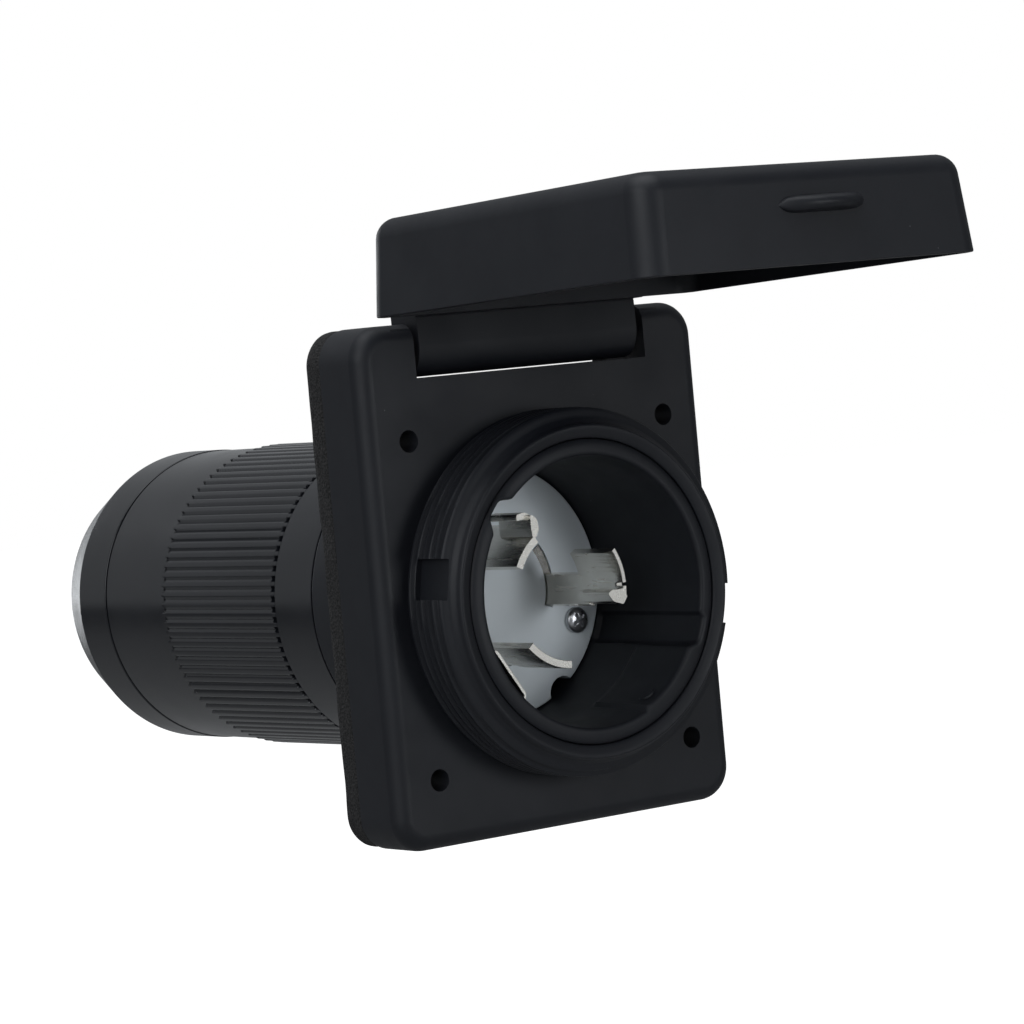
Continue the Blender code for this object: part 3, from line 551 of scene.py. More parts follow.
def open_box(name, x_span, y_span, z_span, corner_r, edge_r, thickness, open_side, draft=0.0):
    """A thin-walled box open on one side: 'y' for no +Y side, 'z' for no -Z side.

    draft pulls the closed side in, and edge_r rounds the rim of the closed side.
    """
    obj = box(name, x_span, y_span, z_span)
    shape = bmesh.new()
    shape.from_mesh(obj.data)
    if draft:
        middle = sum(y_span) / 2.0 * MM
        for v in shape.verts:
            if v.co.z > (z_span[0] + z_span[1]) / 2.0 * MM:
                v.co.x -= draft * MM * (1.0 if v.co.x > 0.0 else -1.0)
                v.co.y -= draft * MM * (1.0 if v.co.y > middle else -1.0)
    if open_side == "y":
        gone = [f for f in shape.faces if f.normal.y > 0.9]
        axis, closed = 1, y_span[0]
    else:
        gone = [f for f in shape.faces if f.normal.z < -0.9]
        axis, closed = 2, z_span[1]
    bmesh.ops.delete(shape, geom=gone, context="FACES")
    along = [e for e in shape.edges if abs(e.verts[0].co[axis] - e.verts[1].co[axis]) > MM]
    bmesh.ops.bevel(shape, geom=along, offset=corner_r * MM, segments=14, profile=0.5, affect="EDGES")
    rim = [e for e in shape.edges if not e.is_boundary
           and all(abs(v.co[axis] - closed * MM) < 0.02 * MM for v in e.verts)]
    bmesh.ops.bevel(shape, geom=rim, offset=edge_r * MM, segments=8, profile=0.5, affect="EDGES")
    shape.to_mesh(obj.data)
    shape.free()
    walls = obj.modifiers.new("walls", "SOLIDIFY")
    walls.thickness = thickness * MM
    walls.offset = -1.0
    walls.use_even_offset = True
    apply_modifiers(obj)
    return obj


def pin_way(half):
    """The cutter for the hinge pin's way, along X about the origin."""
    way = bar("pin_way", PIN_WAY_R, (-half, half), steps=24)
    way.data.transform(Matrix.Rotation(-pi / 2.0, 4, "Z"))
    return way


def build_plate():
    """The flange: an open-backed plate with hinge cheeks, screw bosses and holes."""
    low, high = [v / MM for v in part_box("flange_housing")]
    plate = open_box("flange_plate", (low.x, high.x), (FRONT_Y, high.y), (low.z, high.z),
                     CORNER_R, EDGE_R, SHELL_T, "y")
    join(plate, box("cheeks", (-CHEEK_HALF_X, CHEEK_HALF_X), (FRONT_Y + 1.0, high.y - 0.5),
                    (CHEEK_Z, high.z - 1.0)))
    for side in (-1.0, 1.0):
        for z in HOLE_Z:
            join(plate, bar("boss", BOSS_R, (FRONT_Y + 1.0, high.y - 0.5), side * HOLE_X, z))
    subtract(plate, bar("opening", COLLAR_ROOT_R - 0.6, (-60.0, 10.0), steps=144))
    subtract(plate, box("hinge_notch", (-HINGE_NOTCH_X, HINGE_NOTCH_X), (-30.0, 5.0), (HINGE_NOTCH_Z, 80.0)))
    way = pin_way(36.5)
    shift(way, y=PIN_Y, z=PIN_Z)
    subtract(plate, way)
    for side in (-1.0, 1.0):
        for z in HOLE_Z:
            subtract(plate, bar("hole", HOLE_R, (-40.0, 10.0), side * HOLE_X, z, 36))
    soften(plate, 0.35, 2, 50.0)
    dress(plate, MATERIALS["black_satin"], "inlet", "black_satin", "flange_housing")


def thread_profile(phase):
    """Height 0..1 of a rounded trapezoid thread at a phase of one pitch."""
    wave = 0.5 + 0.62 * cos(2.0 * pi * phase)
    wave = min(1.0, max(0.0, wave))
    return wave * wave * (3.0 - 2.0 * wave)


def collar_shape(radius, y, angle):
    """Raise the thread on the collar's outer wall and taper its front end."""
    if radius < COLLAR_ROOT_R - 0.05:
        return radius
    drop = TAPER_DROP * min(1.0, max(0.0, (TAPER_Y - y) / (TAPER_Y - TAPER_END_Y)))
    if not THREAD_Y[0] < y < THREAD_Y[1]:
        return radius - drop
    turns = (y - THREAD_Y[1]) / THREAD_PITCH + angle / 360.0
    fade = min(1.0, (THREAD_Y[1] - y) / 0.8, (y - THREAD_Y[0]) / 0.6)
    return radius - drop + THREAD_DEPTH * thread_profile(turns) * fade


def build_collar():
    """The collar: threaded wall, tapered shoulder, flat ring and bore."""
    wall_steps = 84
    outer = [(COLLAR_ROOT_R, HUB_BACK_Y + (TAPER_END_Y - HUB_BACK_Y) * k / wall_steps)
             for k in range(wall_steps + 1)]
    shoulder = [(39.1, -35.75), (38.75, -36.1), (38.5, -36.6), (38.4, -37.1), (38.25, -37.5), (38.0, -37.72),
                (37.7, COLLAR_FRONT_Y)]
    inner = [(37.0, COLLAR_FRONT_Y + 0.15), (35.9, -37.2), (35.3, -36.9), (BORE_R, -36.5),
             (BORE_R, HUB_BACK_Y)]
    collar = turned("threaded_collar", outer + shoulder + inner, 288, collar_shape)
    for side in (0.0, 180.0):
        notch = box("notch", (NOTCH_FLOOR_R, COLLAR_R + 5.0), (-40.0, NOTCH_BACK_Y),
                    (-NOTCH_HALF, NOTCH_HALF))
        spin(notch, side + NOTCH_TURN)
        subtract(collar, notch)
    dress(collar, MATERIALS["black_satin"], "inlet", "black_satin")


def build_gasket():
    """The foam pad: a soft-edged, slightly uneven sheet with a round hole and a hinge window."""
    low, high = [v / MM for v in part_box("foam_gasket")]
    loop = rounded_loop((low.x + GASKET_INSET, high.x - GASKET_INSET),
                        (low.z + GASKET_INSET, high.z - GASKET_INSET), CORNER_R, 16, 60)
    centre = Vector((0.0, (low.z + high.z) / 2.0))
    rows = ((low.y, 0.5), (low.y + 0.4, 0.12), (low.y + 1.6, 0.0), ((low.y + high.y) / 2.0, 0.08),
            (high.y - 1.6, 0.0), (high.y - 0.4, 0.12), (high.y, 0.5))
    verts, faces = [], []
    for y, back in rows:
        for x, z in loop:
            ripple = GASKET_RIPPLE * noise.noise(Vector((x * 0.11, y * 0.25, z * 0.11)))
            away = (Vector((x, z)) - centre).normalized()
            verts.append((x + away.x * (ripple - back), y, z + away.y * (ripple - back)))
    count = len(loop)
    for r in range(len(rows) - 1):
        for i in range(count):
            j = (i + 1) % count
            faces.append((r * count + i, r * count + j, (r + 1) * count + j, (r + 1) * count + i))
    faces += [tuple(range(count)), tuple(range((len(rows) - 1) * count, len(rows) * count))]
    gasket = new_object("gasket_pad", verts, faces)
    subtract(gasket, bar("opening", GASKET_HOLE_R, (-10.0, 5.0), steps=96),
             box("window", (-GASKET_WINDOW_X, GASKET_WINDOW_X), (-10.0, 5.0), GASKET_WINDOW_Z))
    for side in (-1.0, 1.0):
        for z in HOLE_Z:
            subtract(gasket, bar("hole", HOLE_R + 0.3, (-10.0, 5.0), side * HOLE_X, z, 24))
    dress(gasket, MATERIALS["foam"], "inlet", "foam", "foam_gasket")


# ---------- cup, carrier, contacts ----------

def bell(value, half, soft):
    """1 inside +-half, falling smoothly to 0 over soft."""
    t = min(1.0, max(0.0, (abs(value) - half) / soft))
    return 1.0 - t * t * (3.0 - 2.0 * t)


def around(angle, centre):
    """Degrees from centre to angle, in -180 to 180."""
    return (angle - centre + 180.0) % 360.0 - 180.0


def cup_shape(radius, y, angle):
    """Keyways and the raised pad on the inner wall, fading out across the rim."""
    rim_r = CUP_MOUTH_R + 2.6
    if y > -0.2 or radius > rim_r:
        return radius
    inner = min(1.0, max(0.0, (rim_r - radius) / 1.4))
    keyway = 2.6 * bell(around(angle, KEYWAY_ANGLE), 3.0, 6.5)
    side_way = 1.1 * bell(around(angle, SIDE_WAY_ANGLE), 5.4, 2.0)
    middle = (PAD_ANGLES[0] + PAD_ANGLES[1]) / 2.0
    half = (PAD_ANGLES[1] - PAD_ANGLES[0]) / 2.0
    pad = 0.9 * bell(around(angle, middle), half, 1.6) * min(1.0, max(0.0, (PAD_BACK_Y - y) / 1.5))
    return radius + inner * (keyway + side_way - pad)


def build_cup():
    """The cup with its flange, tail, ring and thread, turned in one piece."""
    wall_y = (0.5, CUP_MOUTH_Y + 0.9)
    wall = [(CUP_MOUTH_R + (CUP_FLOOR_R - CUP_MOUTH_R) * k / 44, wall_y[1] + (wall_y[0] - wall_y[1]) * k / 44)
            for k in range(44, -1, -1)]
    mouth = [(CUP_MOUTH_R + 0.15, CUP_MOUTH_Y + 0.4), (CUP_MOUTH_R + 0.5, CUP_MOUTH_Y + 0.1),
             (CUP_MOUTH_R + 1.0, CUP_MOUTH_Y), (CUP_MOUTH_R + 2.2, CUP_MOUTH_Y + 0.12),
             (CUP_MOUTH_R + 3.0, CUP_MOUTH_Y + 0.4), (CUP_R - 0.1, CUP_MOUTH_Y + 0.8),
             (CUP_R, CUP_MOUTH_Y + 1.1)]
    outer = filleted([(CUP_R, CUP_FLANGE_Y[0], 0.3), (CUP_FLANGE_R, CUP_FLANGE_Y[0], 0.5),
                      (CUP_FLANGE_R, CUP_FLANGE_Y[1], 0.5), (TAIL_R, CUP_FLANGE_Y[1], 0.4),
                      (TAIL_R, TAIL_RING_Y[0], 0.4), (TAIL_RING_R, TAIL_RING_Y[0], 0.6),
                      (TAIL_RING_R, TAIL_RING_Y[1], 0.35), (35.0, TAIL_RING_Y[1], 0.2)], 3)
    thread = []
    for k in range(49):
        y = TAIL_THREAD_Y + TAIL_THREAD_LENGTH * k / 48
        wave = cos(2.0 * pi * (y - TAIL_THREAD_Y) / TAIL_THREAD_PITCH)
        thread.append((TAIL_THREAD_R[0] + TAIL_THREAD_R[1] * wave, y))
    back = filleted([(TAIL_R, TAIL_END_Y, 0.3), (CUP_FLOOR_R, TAIL_END_Y, 0.3),
                     (CUP_FLOOR_R, CUP_FLOOR_Y[1], 0.0), (CUP_FLOOR_HOLE_R, CUP_FLOOR_Y[1], 0.2),
                     (CUP_FLOOR_HOLE_R, CUP_FLOOR_Y[0], 0.2), (CUP_FLOOR_R, CUP_FLOOR_Y[0], 0.0)], 2)
    cup = turned("cup_shell", wall + mouth + outer + thread + back, 240, cup_shape)
    cut_strap_slot(cup, (10.0, 17.0))
    dress(cup, MATERIALS["black_satin"], "inlet", "black_gloss", "inlet_cup")


def build_nib():
    """A plain curved nib on the cup's wall, built flat and laid on the wall."""
    profile = ((-1.0, 0.0), (-0.6, NIB_HEIGHT), (0.6, NIB_HEIGHT), (1.0, 0.0))
    verts, faces = [], []
    for i, (x, z) in enumerate(arc(1.0, -30.0, 160.0, 14)):
        middle = Vector((x * NIB_R, z * NIB_R))
        out = middle.normalized() * NIB_HALF
        for share, height in profile:
            q = middle + out * share
            verts.append((q.x, q.y, height - NIB_SUNK))
        if i:
            for k in range(4):
                m = (k + 1) % 4
                faces.append(((i - 1) * 4 + k, (i - 1) * 4 + m, i * 4 + m, i * 4 + k))
    last = len(verts) - 4
    faces += [(0, 1, 2, 3), (last, last + 1, last + 2, last + 3)]
    nib = new_object("cup_nib", verts, faces)
    nib.data.transform(Matrix.Rotation(pi / 2.0, 4, "Y"))
    nib.data.transform(Matrix.Rotation(pi, 4, "Z"))
    radius, y, angle = NIB_PLACE
    shift(nib, x=radius, y=y)
    spin(nib, angle)
    dress(nib, MATERIALS["black_satin"], "inlet", "black_gloss")


def cut_strap_slot(target, y_span):
    """Cut the ground strap's way through the cup's floor or the carrier."""
    slot = box("slot", (STRAP_U - SLOT_GAP, STRAP_U + STRAP_T + SLOT_GAP), y_span,
               (-STRAP_TANG_HALF - SLOT_GAP, STRAP_TANG_HALF + SLOT_GAP))
    spin(slot, STRAP_ANGLE)
    subtract(target, slot)


def build_carrier():
    """The grey disc with slots for the blades and strap, a key notch and screw holes."""
    through = (-1.0, 12.0)
    low, high = [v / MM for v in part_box("contact_carrier")]
    section = filleted([(0.0, low.y, 0.0), (CARRIER_R, low.y, 0.5), (CARRIER_R, high.y, 0.4),
                        (0.0, high.y, 0.0)], 4)
    carrier = turned("carrier_disc", section, 160)
    for name, angle in BLADE_ANGLES.items():
        lift = LINE_Y_LIFT if name == "blade_line_y" else 0.0
        slot = sector("slot", (BLADE_R[0] - SLOT_GAP, BLADE_R[1] + SLOT_GAP + lift),
                      (-BLADE_HALF - 1.2, BLADE_HALF + 1.2), through)
        spin(slot, angle)
        subtract(carrier, slot)
    cut_strap_slot(carrier, through)
    x, z = polar(CARRIER_R + 1.0, CARRIER_KEY_ANGLE)
    subtract(carrier, bar("key", CARRIER_KEY_R, through, x, z, 48))
    for angle in CARRIER_SCREW_ANGLES.values():
        x, z = polar(CARRIER_SCREW_R, angle)
        subtract(carrier, bar("hole", 1.9, through, x, z, 24))
    soften(carrier, 0.25, 2, 50.0)
    dress(carrier, MATERIALS["grey_plastic"], "inlet", "grey_plastic", "contact_carrier")


def blade_tab(name):
    """The bent end of a blade as (x, z) prisms: inwards on the neutral blade, an outward hook on line X."""
    if name == "blade_neutral":
        outline = [(10.9, -1.7, 0.5), (12.2, -1.0, 0.5), (15.4, -1.0, 0.3), (16.5, -2.9, 0.5),
                   (15.2, -4.6, 0.5), (12.4, -3.7, 0.6)]
        return [prism("tab", filleted(outline), (BLADE_FRONT_Y, TAB_BACK_Y))]
    web = [(-8.4, 13.4, 0.2), (-7.4, 15.2, 0.9), (-7.7, 17.6, 1.4), (-9.6, 19.1, 0.6), (-9.6, 15.6, 0.8),
           (-9.4, 13.6, 0.2)]
    curl = [(-8.6, 18.6, 0.3), (-10.2, 19.4, 1.2), (-12.6, 18.9, 0.6), (-12.4, 17.5, 0.3), (-10.9, 17.8, 0.3),
            (-9.4, 17.4, 0.3)]
    return [prism("tab", filleted(web), (BLADE_FRONT_Y, TAB_BACK_Y)),
            prism("curl", filleted(curl), (BLADE_FRONT_Y + 1.4, TAB_BACK_Y))]


def build_blade(name):
    """One stamping: head with its relief and tab, leg beside the lock notch, root and tang."""
    low, high = BLADE_HEADS[name]
    lift = LINE_Y_LIFT if name == "blade_line_y" else 0.0
    blade = sector(name + "_stamping", (BLADE_R[0] + lift, BLADE_R[1] + lift), (BLADE_START, BLADE_HALF),
                   (BLADE_FRONT_Y, 3.0 if lift else TANG_END_Y))
    if lift:
        join(blade, sector("root", BLADE_R, (-BLADE_HALF, BLADE_HALF), (2.0, TANG_END_Y)))
    outside = (BLADE_R[0] - 2.0, BLADE_R[1] + 2.0)
    beyond = BLADE_HALF + 6.0
    front = BLADE_FRONT_Y - 1.0
    trims = [((LEG_END, beyond), LOCK_NOTCH_Y), ((high, beyond), (front, LOCK_NOTCH_Y[0] + 1.0)),
             ((-beyond, low), (front, LOCK_NOTCH_Y[1])), ((-beyond, -BLADE_HALF), (0.0, TANG_END_Y)),
             ((TANG_HALF, beyond), (ROOT_BACK_Y, TANG_END_Y + 1.0)),
             ((-beyond, -TANG_HALF), (ROOT_BACK_Y, TANG_END_Y + 1.0)),
             ((-beyond, RELIEF_ANGLES[name]), (front, RELIEF_Y))]
    if name == "blade_neutral":
        trims.append(((-beyond, SLIT_ANGLE), SLIT_Y))
        trims.append(((-10.5, -7.5), (front, BLADE_FRONT_Y + 1.6)))
    for angles, y_span in trims:
        subtract(blade, sector("trim", outside, angles, y_span))
    if name == "blade_neutral":
        lead_in = [(5.0, -29.0), (15.95, -29.0), (15.5, -27.8), (14.55, -25.2), (5.0, -25.2)]
        subtract(blade, turned("lead_in", lead_in, 96))
    spin(blade, BLADE_ANGLES[name])
    if name != "blade_line_y":
        join(blade, *blade_tab(name))
    soften(blade, 0.22, 3, 50.0)
    dress(blade, MATERIALS["nickel"], "inlet", "nickel", name)


def build_strap():
    """The ground strap: a cranked face at the wall, a tang through the floor and a foot behind it."""
    u, t = STRAP_U, STRAP_T
    low, high = [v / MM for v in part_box("ground_strap")]
    face = [(u + 1.7, -9.2), (u + 1.7, -7.4), (u + 0.6, -6.2), (u + 0.6, 6.2), (u + 1.7, 7.4), (u + 1.7, 9.2)]
    back = [(x + t, z) for x, z in reversed(face)]
    strap = prism("strap_stamping", face + back, (low.y, STRAP_NARROWS_Y))
    join(strap, box("tang", (u, u + t), (STRAP_NARROWS_Y - 1.0, high.y), (-STRAP_TANG_HALF, STRAP_TANG_HALF)),
         box("foot", (19.5, u + t / 2.0), (high.y - t, high.y), (-STRAP_TANG_HALF, STRAP_TANG_HALF)))
    subtract(strap, bar("hole", STRAP_HOLE_R, (high.y - 3.0, high.y + 4.0), STRAP_HOLE_U, 0.0, 32))
    soften(strap, 0.16, 2, 50.0)
    spin(strap, STRAP_ANGLE)
    dress(strap, MATERIALS["nickel"], "inlet", "nickel", "ground_strap")


def build_carrier_screws():
    """Pan-head screws with a cross recess and a ridged shank."""
    core_r, crest_r = SCREW_SHANK_R
    recess = [(-1.9, -0.42), (1.9, -0.42), (1.9, 0.42), (-1.9, 0.42)]
    for name, angle in CARRIER_SCREW_ANGLES.items():
        low, high = [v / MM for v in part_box(name)]
        head_y = CARRIER_FACE_Y - 0.3
        brow_y = head_y - 0.55
        section = [(SCREW_HEAD_R * sin(radians(12.0 * k)), brow_y - (brow_y - low.y) * cos(radians(12.0 * k)))
                   for k in range(0, 8)]
        section += [(SCREW_HEAD_R, head_y - 0.4), (SCREW_HEAD_R - 0.05, head_y), (crest_r, head_y)]
        y = head_y + 0.4
        while y < high.y - 2.0:
            section += [(core_r, y), (crest_r, y + SCREW_PITCH / 2.0), (core_r, y + SCREW_PITCH)]
            y += SCREW_PITCH
        section += [(1.2, high.y - 1.4), (0.0, high.y)]
        screw = turned(name + "_pan_head", section, 40)
        for turn in (0.0, 90.0):
            driver = prism("cross", recess, (low.y - 1.0, low.y + 1.25))
            spin(driver, turn)
            subtract(screw, driver)
        soften(screw, 0.09, 2, 55.0)
        spin(screw, SCREW_TURN)
        x, z = polar(CARRIER_SCREW_R, angle)
        shift(screw, x=x, z=z)
        dress(screw, MATERIALS["steel"], "inlet", "steel", name)


# ---------- lid ----------

HINGE = Matrix.Translation((0.0, PIN_Y * MM, PIN_Z * MM)) @ Matrix.Rotation(-radians(LID_REST_TILT), 4, "X")


def on_cover(obj, material, slot, *nodes):
    """Place a piece built in the lid's own axes and dress it."""
    obj.data.transform(HINGE)
    return dress(obj, MATERIALS[material], "cover", slot, *nodes)


def lens_lip():
    """The finger lip: a lens-shaped ledge with rounded edges that swells out of the front skirt."""
    columns, rows = 40, 16
    base_y = LID_NEAR_Y - LID_LENGTH + 0.9
    verts, faces = [], []
    for i in range(columns + 1):
        t = 2.0 * i / columns - 1.0
        reach = LIP_REACH * max(0.0, 1.0 - abs(t) ** 2.2)
        half = LIP_T / 2.0 * max(0.05, 1.0 - abs(t) ** 8.0)
        for k in range(rows):
            turn = 2.0 * pi * k / rows
            bulge = abs(cos(turn)) ** 0.55 * (1.0 if cos(turn) > 0.0 else -1.0)
            depth = reach * max(0.0, bulge) + 2.2 * min(0.0, bulge)
            verts.append((LIP_X + LIP_HALF * t, base_y - depth, LIP_Z + half * sin(turn)))
    for i in range(columns):
        for k in range(rows):
            m = (k + 1) % rows
            faces.append((i * rows + k, (i + 1) * rows + k, (i + 1) * rows + m, i * rows + m))
    faces += [tuple(range(rows)), tuple(range(columns * rows, (columns + 1) * rows))]
    return new_object("lid_lip", verts, faces)


def leaf_loop():
    """The hinge leaf's (y, z) section: a barrel round the pin with an arm that rises into the lid."""
    wall = LID_NEAR_Y - 1.2
    barrel = [(y, z * BARREL_DROP / BARREL_R if z < 0.0 else z) for y, z in arc(BARREL_R, 180.0, 380.0, 40)]
    return ([(-BARREL_R + 0.2, LID_RIM_Z - 0.2), (-BARREL_R, LID_RIM_Z - 0.6)] + barrel
            + [(LEAF_BACK_Y, 4.0), (LEAF_BACK_Y, 8.2), (LEAF_BACK_Y - 0.2, 8.6), (LEAF_BACK_Y - 0.7, 8.8),
               (wall, 8.8), (wall, LID_RIM_Z - 0.2)])


def build_lid():
    """The cover's shell, its finger lip, the hinge leaf and the seal inside."""
    far_y = LID_NEAR_Y - LID_LENGTH
    lid = open_box("lid_shell", (-LID_HALF_X, LID_HALF_X), (far_y, LID_NEAR_Y),
                   (LID_RIM_Z, LID_RIM_Z + LID_DEPTH), LID_CORNER_R, LID_EDGE_R, LID_T, "z", LID_DRAFT)
    soften(lid, 0.3, 2, 50.0)
    on_cover(lid, "black_satin", "black_satin", "lid")
    on_cover(lens_lip(), "black_satin", "black_satin")
    leaf = prism("lid_leaf", leaf_loop(), (-LEAF_HALF_X, LEAF_HALF_X))
    leaf.data.transform(Matrix.Rotation(pi / 2.0, 4, "Z"))
    subtract(leaf, pin_way(40.0))
    soften(leaf, 0.3, 2, 50.0)
    on_cover(leaf, "black_satin", "black_satin")
    section = filleted([(LID_SEAL_R[0], LID_SEAL_Z[0], 0.6), (LID_SEAL_R[1], LID_SEAL_Z[0], 0.6),
                        (LID_SEAL_R[1], LID_SEAL_Z[1], 0.4), (LID_SEAL_R[0], LID_SEAL_Z[1], 0.4)], 4)
    seal = turned("lid_seal_ring", section, 120)
    seal.data.transform(Matrix.Rotation(pi / 2.0, 4, "X"))
    shift(seal, y=-PIN_Z)
    on_cover(seal, "foam", "foam", "lid_seal")


# ---------- rear sleeve, nut, cable entry ----------

def rib_phase(angle):
    """Distance from the nearest groove, as a share of the rib pitch (0 in a groove, 0.5 on a crest)."""
    share = angle * RIBS / 360.0
    return abs(share - round(share))


def sleeve_shape(radius, y, angle):
    """Grooves between the ribs, each ending in a small pit at both ends of the band."""
    if radius < RIB_R[0] or not RIB_Y[0] < y < RIB_Y[1]:
        return radius
    near_end = min(y - RIB_Y[0], RIB_Y[1] - y)
    groove = max(0.0, 1.0 - rib_phase(angle) / 0.26)
    depth = 0.4 * groove
    if near_end < 1.6:
        depth = max(depth, 1.1 * bell(rib_phase(angle), 0.16, 0.16))
    return radius - depth


def build_sleeve():
    """The sleeve: plain front, ribbed band, plain back, threaded spigot and the bore with its floor."""
    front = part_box("rear_sleeve")[0].y / MM
    rib_start, rib_end = RIB_Y
    close = (0.15, 0.3, 0.8, 1.3, 1.5, 1.7)
    rib_rows = [rib_start + d for d in close]
    rib_rows += [rib_start + 2.0 + (rib_end - rib_start - 4.0) * k / 8 for k in range(9)]
    rib_rows += [rib_end - d for d in reversed(close)]
    section = [(36.6, front + 0.1), (36.75, front), (37.25, front), (37.42, front + 0.08),
               (SLEEVE_FRONT_R, front + 0.3), (SLEEVE_FRONT_R, rib_start - 0.05)]
    section += [(RIB_R[0] + (RIB_R[1] - RIB_R[0]) * (y - rib_start) / (rib_end - rib_start), y)
                for y in rib_rows]
    section += [(SLEEVE_BACK_R, rib_end), (SLEEVE_BACK_R, SLEEVE_BACK_Y - 0.3), (37.12, SLEEVE_BACK_Y - 0.1),
                (36.9, SLEEVE_BACK_Y), (SPIGOT_R, SLEEVE_BACK_Y)]
    y = SPIGOT_Y[0]
    while y < SPIGOT_Y[1]:
        section += [(SPIGOT_R, y), (SPIGOT_R - 0.7, y + 0.5), (SPIGOT_R, y + 1.0)]
        y += SPIGOT_PITCH
    section += [(SPIGOT_R, SPIGOT_END_Y - 0.4), (SPIGOT_R - 0.4, SPIGOT_END_Y),
                (CONE_SEAT[1][0], SPIGOT_END_Y), CONE_SEAT[1], CONE_SEAT[0], (CABLE_R, SLEEVE_FLOOR_Y),
                (SLEEVE_BORE_R, SLEEVE_FLOOR_Y), (SLEEVE_BORE_R, SLEEVE_MOUTH_Y),
                (SLEEVE_MOUTH_R, SLEEVE_MOUTH_Y), (SLEEVE_MOUTH_R, front + 2.0), (36.6, front + 2.0)]
    sleeve = turned("ribbed_sleeve", section, RIBS * 10, sleeve_shape)
    dress(sleeve, MATERIALS["black_gloss"], "sleeve", "black_gloss", "rear_sleeve")


def build_nut():
    """The rear nut with its cone and recess, the grommet and the slip washer that it squeezes."""
    low, high = [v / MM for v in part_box("rear_nut")]
    section = filleted([(33.5, low.y, 0.2), (NUT_R, low.y, 0.35), (NUT_R, NUT_CONE_Y[0], 0.25),
                        (NUT_END_R, NUT_CONE_Y[1], 0.5), (30.4, high.y, 0.6), (28.0, high.y, 0.4),
                        (33.0, NUT_FACE_Y[1] + 2.0, 0.6), (31.0, NUT_FACE_Y[1], 0.6),
                        (NUT_HOLE_R, NUT_FACE_Y[1], 0.4), (NUT_HOLE_R, NUT_FACE_Y[0], 0.3),
                        (33.5, NUT_FACE_Y[0], 0.2)], 4)
    dress(turned("cone_nut", section, 240), MATERIALS["black_gloss"], "nut", "black_gloss", "rear_nut")
    grommet = filleted([(GROMMET_R[0], GROMMET_Y[0], 0.4), (14.8, GROMMET_Y[0], 0.4),
                        (GROMMET_R[1], 113.0, 0.6), (GROMMET_R[1], GROMMET_Y[1], 0.4),
                        (GROMMET_R[0], GROMMET_Y[1], 0.6)], 4)
    dress(turned("grommet_cone", grommet, 120), MATERIALS["rubber"], "sleeve", "rubber", "cable_grommet")
    washer = filleted([(WASHER_R[0], WASHER_Y[0], 0.2), (WASHER_R[1], WASHER_Y[0], 0.2),
                       (WASHER_R[1], WASHER_Y[1], 0.2), (WASHER_R[0], WASHER_Y[1], 0.2)], 3)
    dress(turned("slip_washer_plate", washer, 120), MATERIALS["steel"], "nut_travel", "steel", "slip_washer")


# ---------- the stage ----------

def pale_floor():
    """A pale floor that looks white but throws little light back up."""
    material = bpy.data.materials.new("pale_floor")
    material.use_nodes = True
    nodes, links = material.node_tree.nodes, material.node_tree.links
    shader = nodes["Principled BSDF"]
    shader.inputs["Base Color"].default_value = (FLOOR_TONE, FLOOR_TONE, FLOOR_TONE, 1.0)
    shader.inputs["Roughness"].default_value = 0.9
    shader.inputs["Emission Color"].default_value = (1.0, 1.0, 1.0, 1.0)
    links.new(nodes.new("ShaderNodeLightPath").outputs["Is Camera Ray"], shader.inputs["Emission Strength"])
    return material


def build_stage():
    """The floor, and a sky that is dim in front, lighter behind and white to the camera."""
    edge = FLOOR_HALF
    corners = [(x, y, FLOOR_Z) for x, y in ((-edge, -edge), (edge, -edge), (edge, edge), (-edge, edge))]
    floor = new_object("floor", corners, [(0, 1, 2, 3)])
    floor.data.materials.append(pale_floor())
    world = bpy.data.worlds.new("studio")
    bpy.context.scene.world = world
    world.use_nodes = True
    nodes, links = world.node_tree.nodes, world.node_tree.links
    sky = nodes["Background"]
    white = nodes.new("ShaderNodeBackground")
    white.inputs["Color"].default_value = (1.0, 1.0, 1.0, 1.0)
    white.inputs["Strength"].default_value = 1.0
    coords = nodes.new("ShaderNodeTexCoord")
    split = nodes.new("ShaderNodeSeparateXYZ")
    fade = nodes.new("ShaderNodeMapRange")
    fade.inputs["From Min"].default_value = -0.5
    fade.inputs["From Max"].default_value = 0.9
    fade.inputs["To Min"].default_value = SKY_FRONT
    fade.inputs["To Max"].default_value = SKY_BACK
    sky.inputs["Color"].default_value = SKY_TINT
    links.new(coords.outputs["Generated"], split.inputs["Vector"])
    links.new(split.outputs["Y"], fade.inputs["Value"])
    links.new(fade.outputs["Result"], sky.inputs["Strength"])
    path = nodes.new("ShaderNodeLightPath")
    mix = nodes.new("ShaderNodeMixShader")
    links.new(path.outputs["Is Camera Ray"], mix.inputs["Fac"])
    links.new(sky.outputs["Background"], mix.inputs[1])
    links.new(white.outputs["Background"], mix.inputs[2])
    links.new(mix.outputs["Shader"], nodes["World Output"].inputs["Surface"])


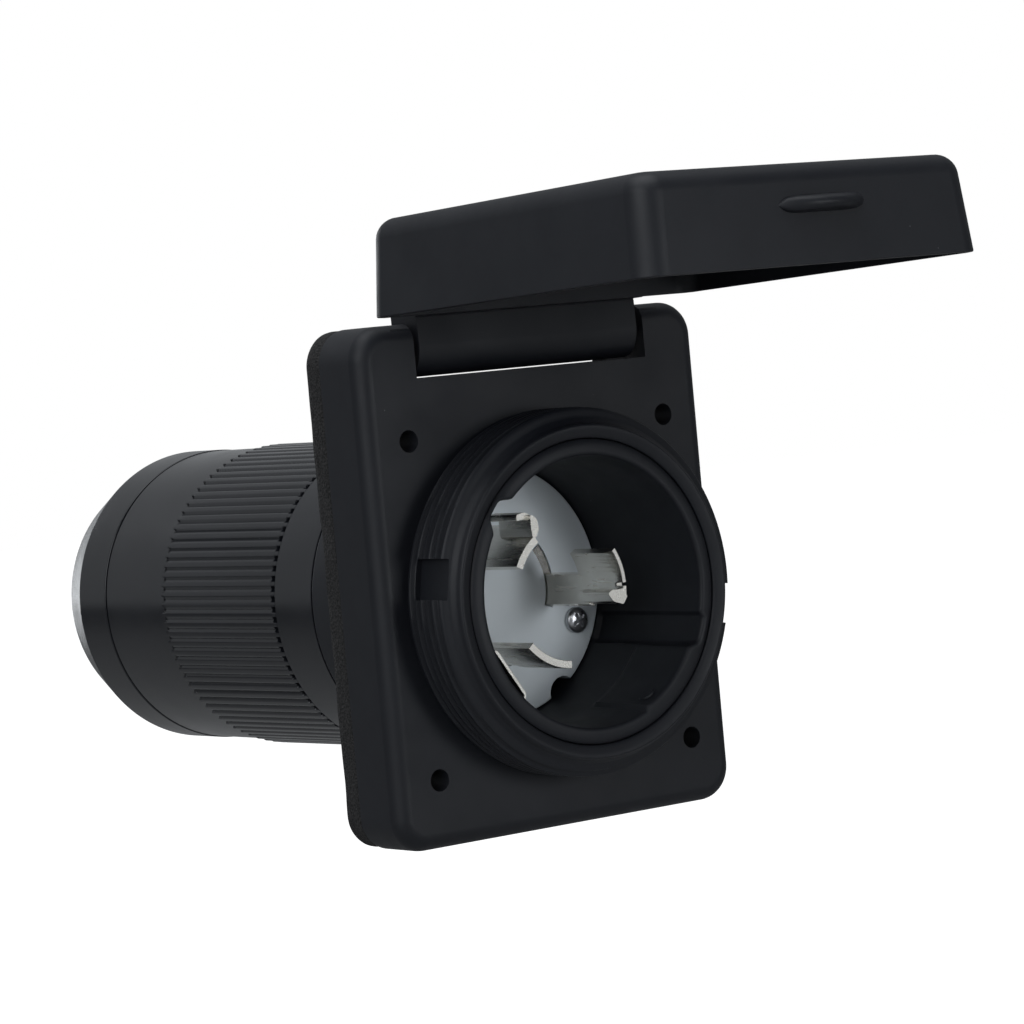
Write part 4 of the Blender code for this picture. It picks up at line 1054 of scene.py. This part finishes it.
def soft_light(name, place, aim, size, power):
    """A rectangular area light at place, turned to aim; metres and watts."""
    data = bpy.data.lights.new(name, "AREA")
    data.shape = "RECTANGLE"
    data.size, data.size_y = size
    data.energy = power
    data.color = LIGHT_TINT
    light = bpy.data.objects.new(name, data)
    bpy.context.scene.collection.objects.link(light)
    light.location = place
    light.rotation_euler = (Vector(aim) - Vector(place)).to_track_quat("-Z", "Y").to_euler()


def build_lights():
    soft_light("top_soft", (-0.10, -0.15, 1.10), (0.0, 0.0, 0.0), (1.2, 1.0), 9.0)
    soft_light("key_soft", (-1.15, -0.70, 0.50), (0.0, 0.0, 0.0), (1.0, 1.0), 9.5)
    soft_light("front_soft", (0.32, -1.15, 0.08), (0.0, -0.02, 0.0), (0.3, 0.4), 3.2)
    soft_light("rim_soft", (0.05, 1.60, 0.10), (0.0, 0.10, 0.0), (0.4, 0.9), 4.5)
    soft_light("glint", (0.72, -0.97, -0.05), (0.0, -0.02, 0.0), (0.25, 0.5), 0.22)


def build_camera():
    """The photo's view: a long lens to the left of the cup's axis, turned by yaw, pitch and roll."""
    yaw, pitch, roll = [radians(turn) for turn in CAMERA_TURNS]
    forward = Vector((sin(yaw) * cos(pitch), cos(yaw) * cos(pitch), sin(pitch)))
    level = Vector((cos(yaw), -sin(yaw), 0.0))
    upright = level.cross(forward)
    right = cos(roll) * level + sin(roll) * upright
    up = cos(roll) * upright - sin(roll) * level
    data = bpy.data.cameras.new("camera")
    data.lens = CAMERA_LENS
    data.sensor_width = 36.0
    data.clip_start = 0.05
    data.clip_end = 50.0
    camera = bpy.data.objects.new("camera", data)
    bpy.context.scene.collection.objects.link(camera)
    turn = Matrix((right, up, -forward)).transposed().to_4x4()
    camera.matrix_world = Matrix.Translation(CAMERA_PLACE) @ turn
    bpy.context.scene.camera = camera
    bpy.context.scene.view_settings.view_transform = "Standard"


def paint_cad_nodes():
    """Give every CAD node the procedural material of its record slot."""
    for row in frame["record"]["subparts"]:
        node = frame["nodes"][row["node"]]
        node.data.materials.clear()
        node.data.materials.append(MATERIALS[row["material_slot"]])


paint_cad_nodes()
build_plate()
build_collar()
build_gasket()
build_cup()
build_nib()
build_carrier()
for blade_name in BLADE_ANGLES:
    build_blade(blade_name)
build_strap()
build_carrier_screws()
build_lid()
build_sleeve()
build_nut()
build_stage()
build_lights()
build_camera()
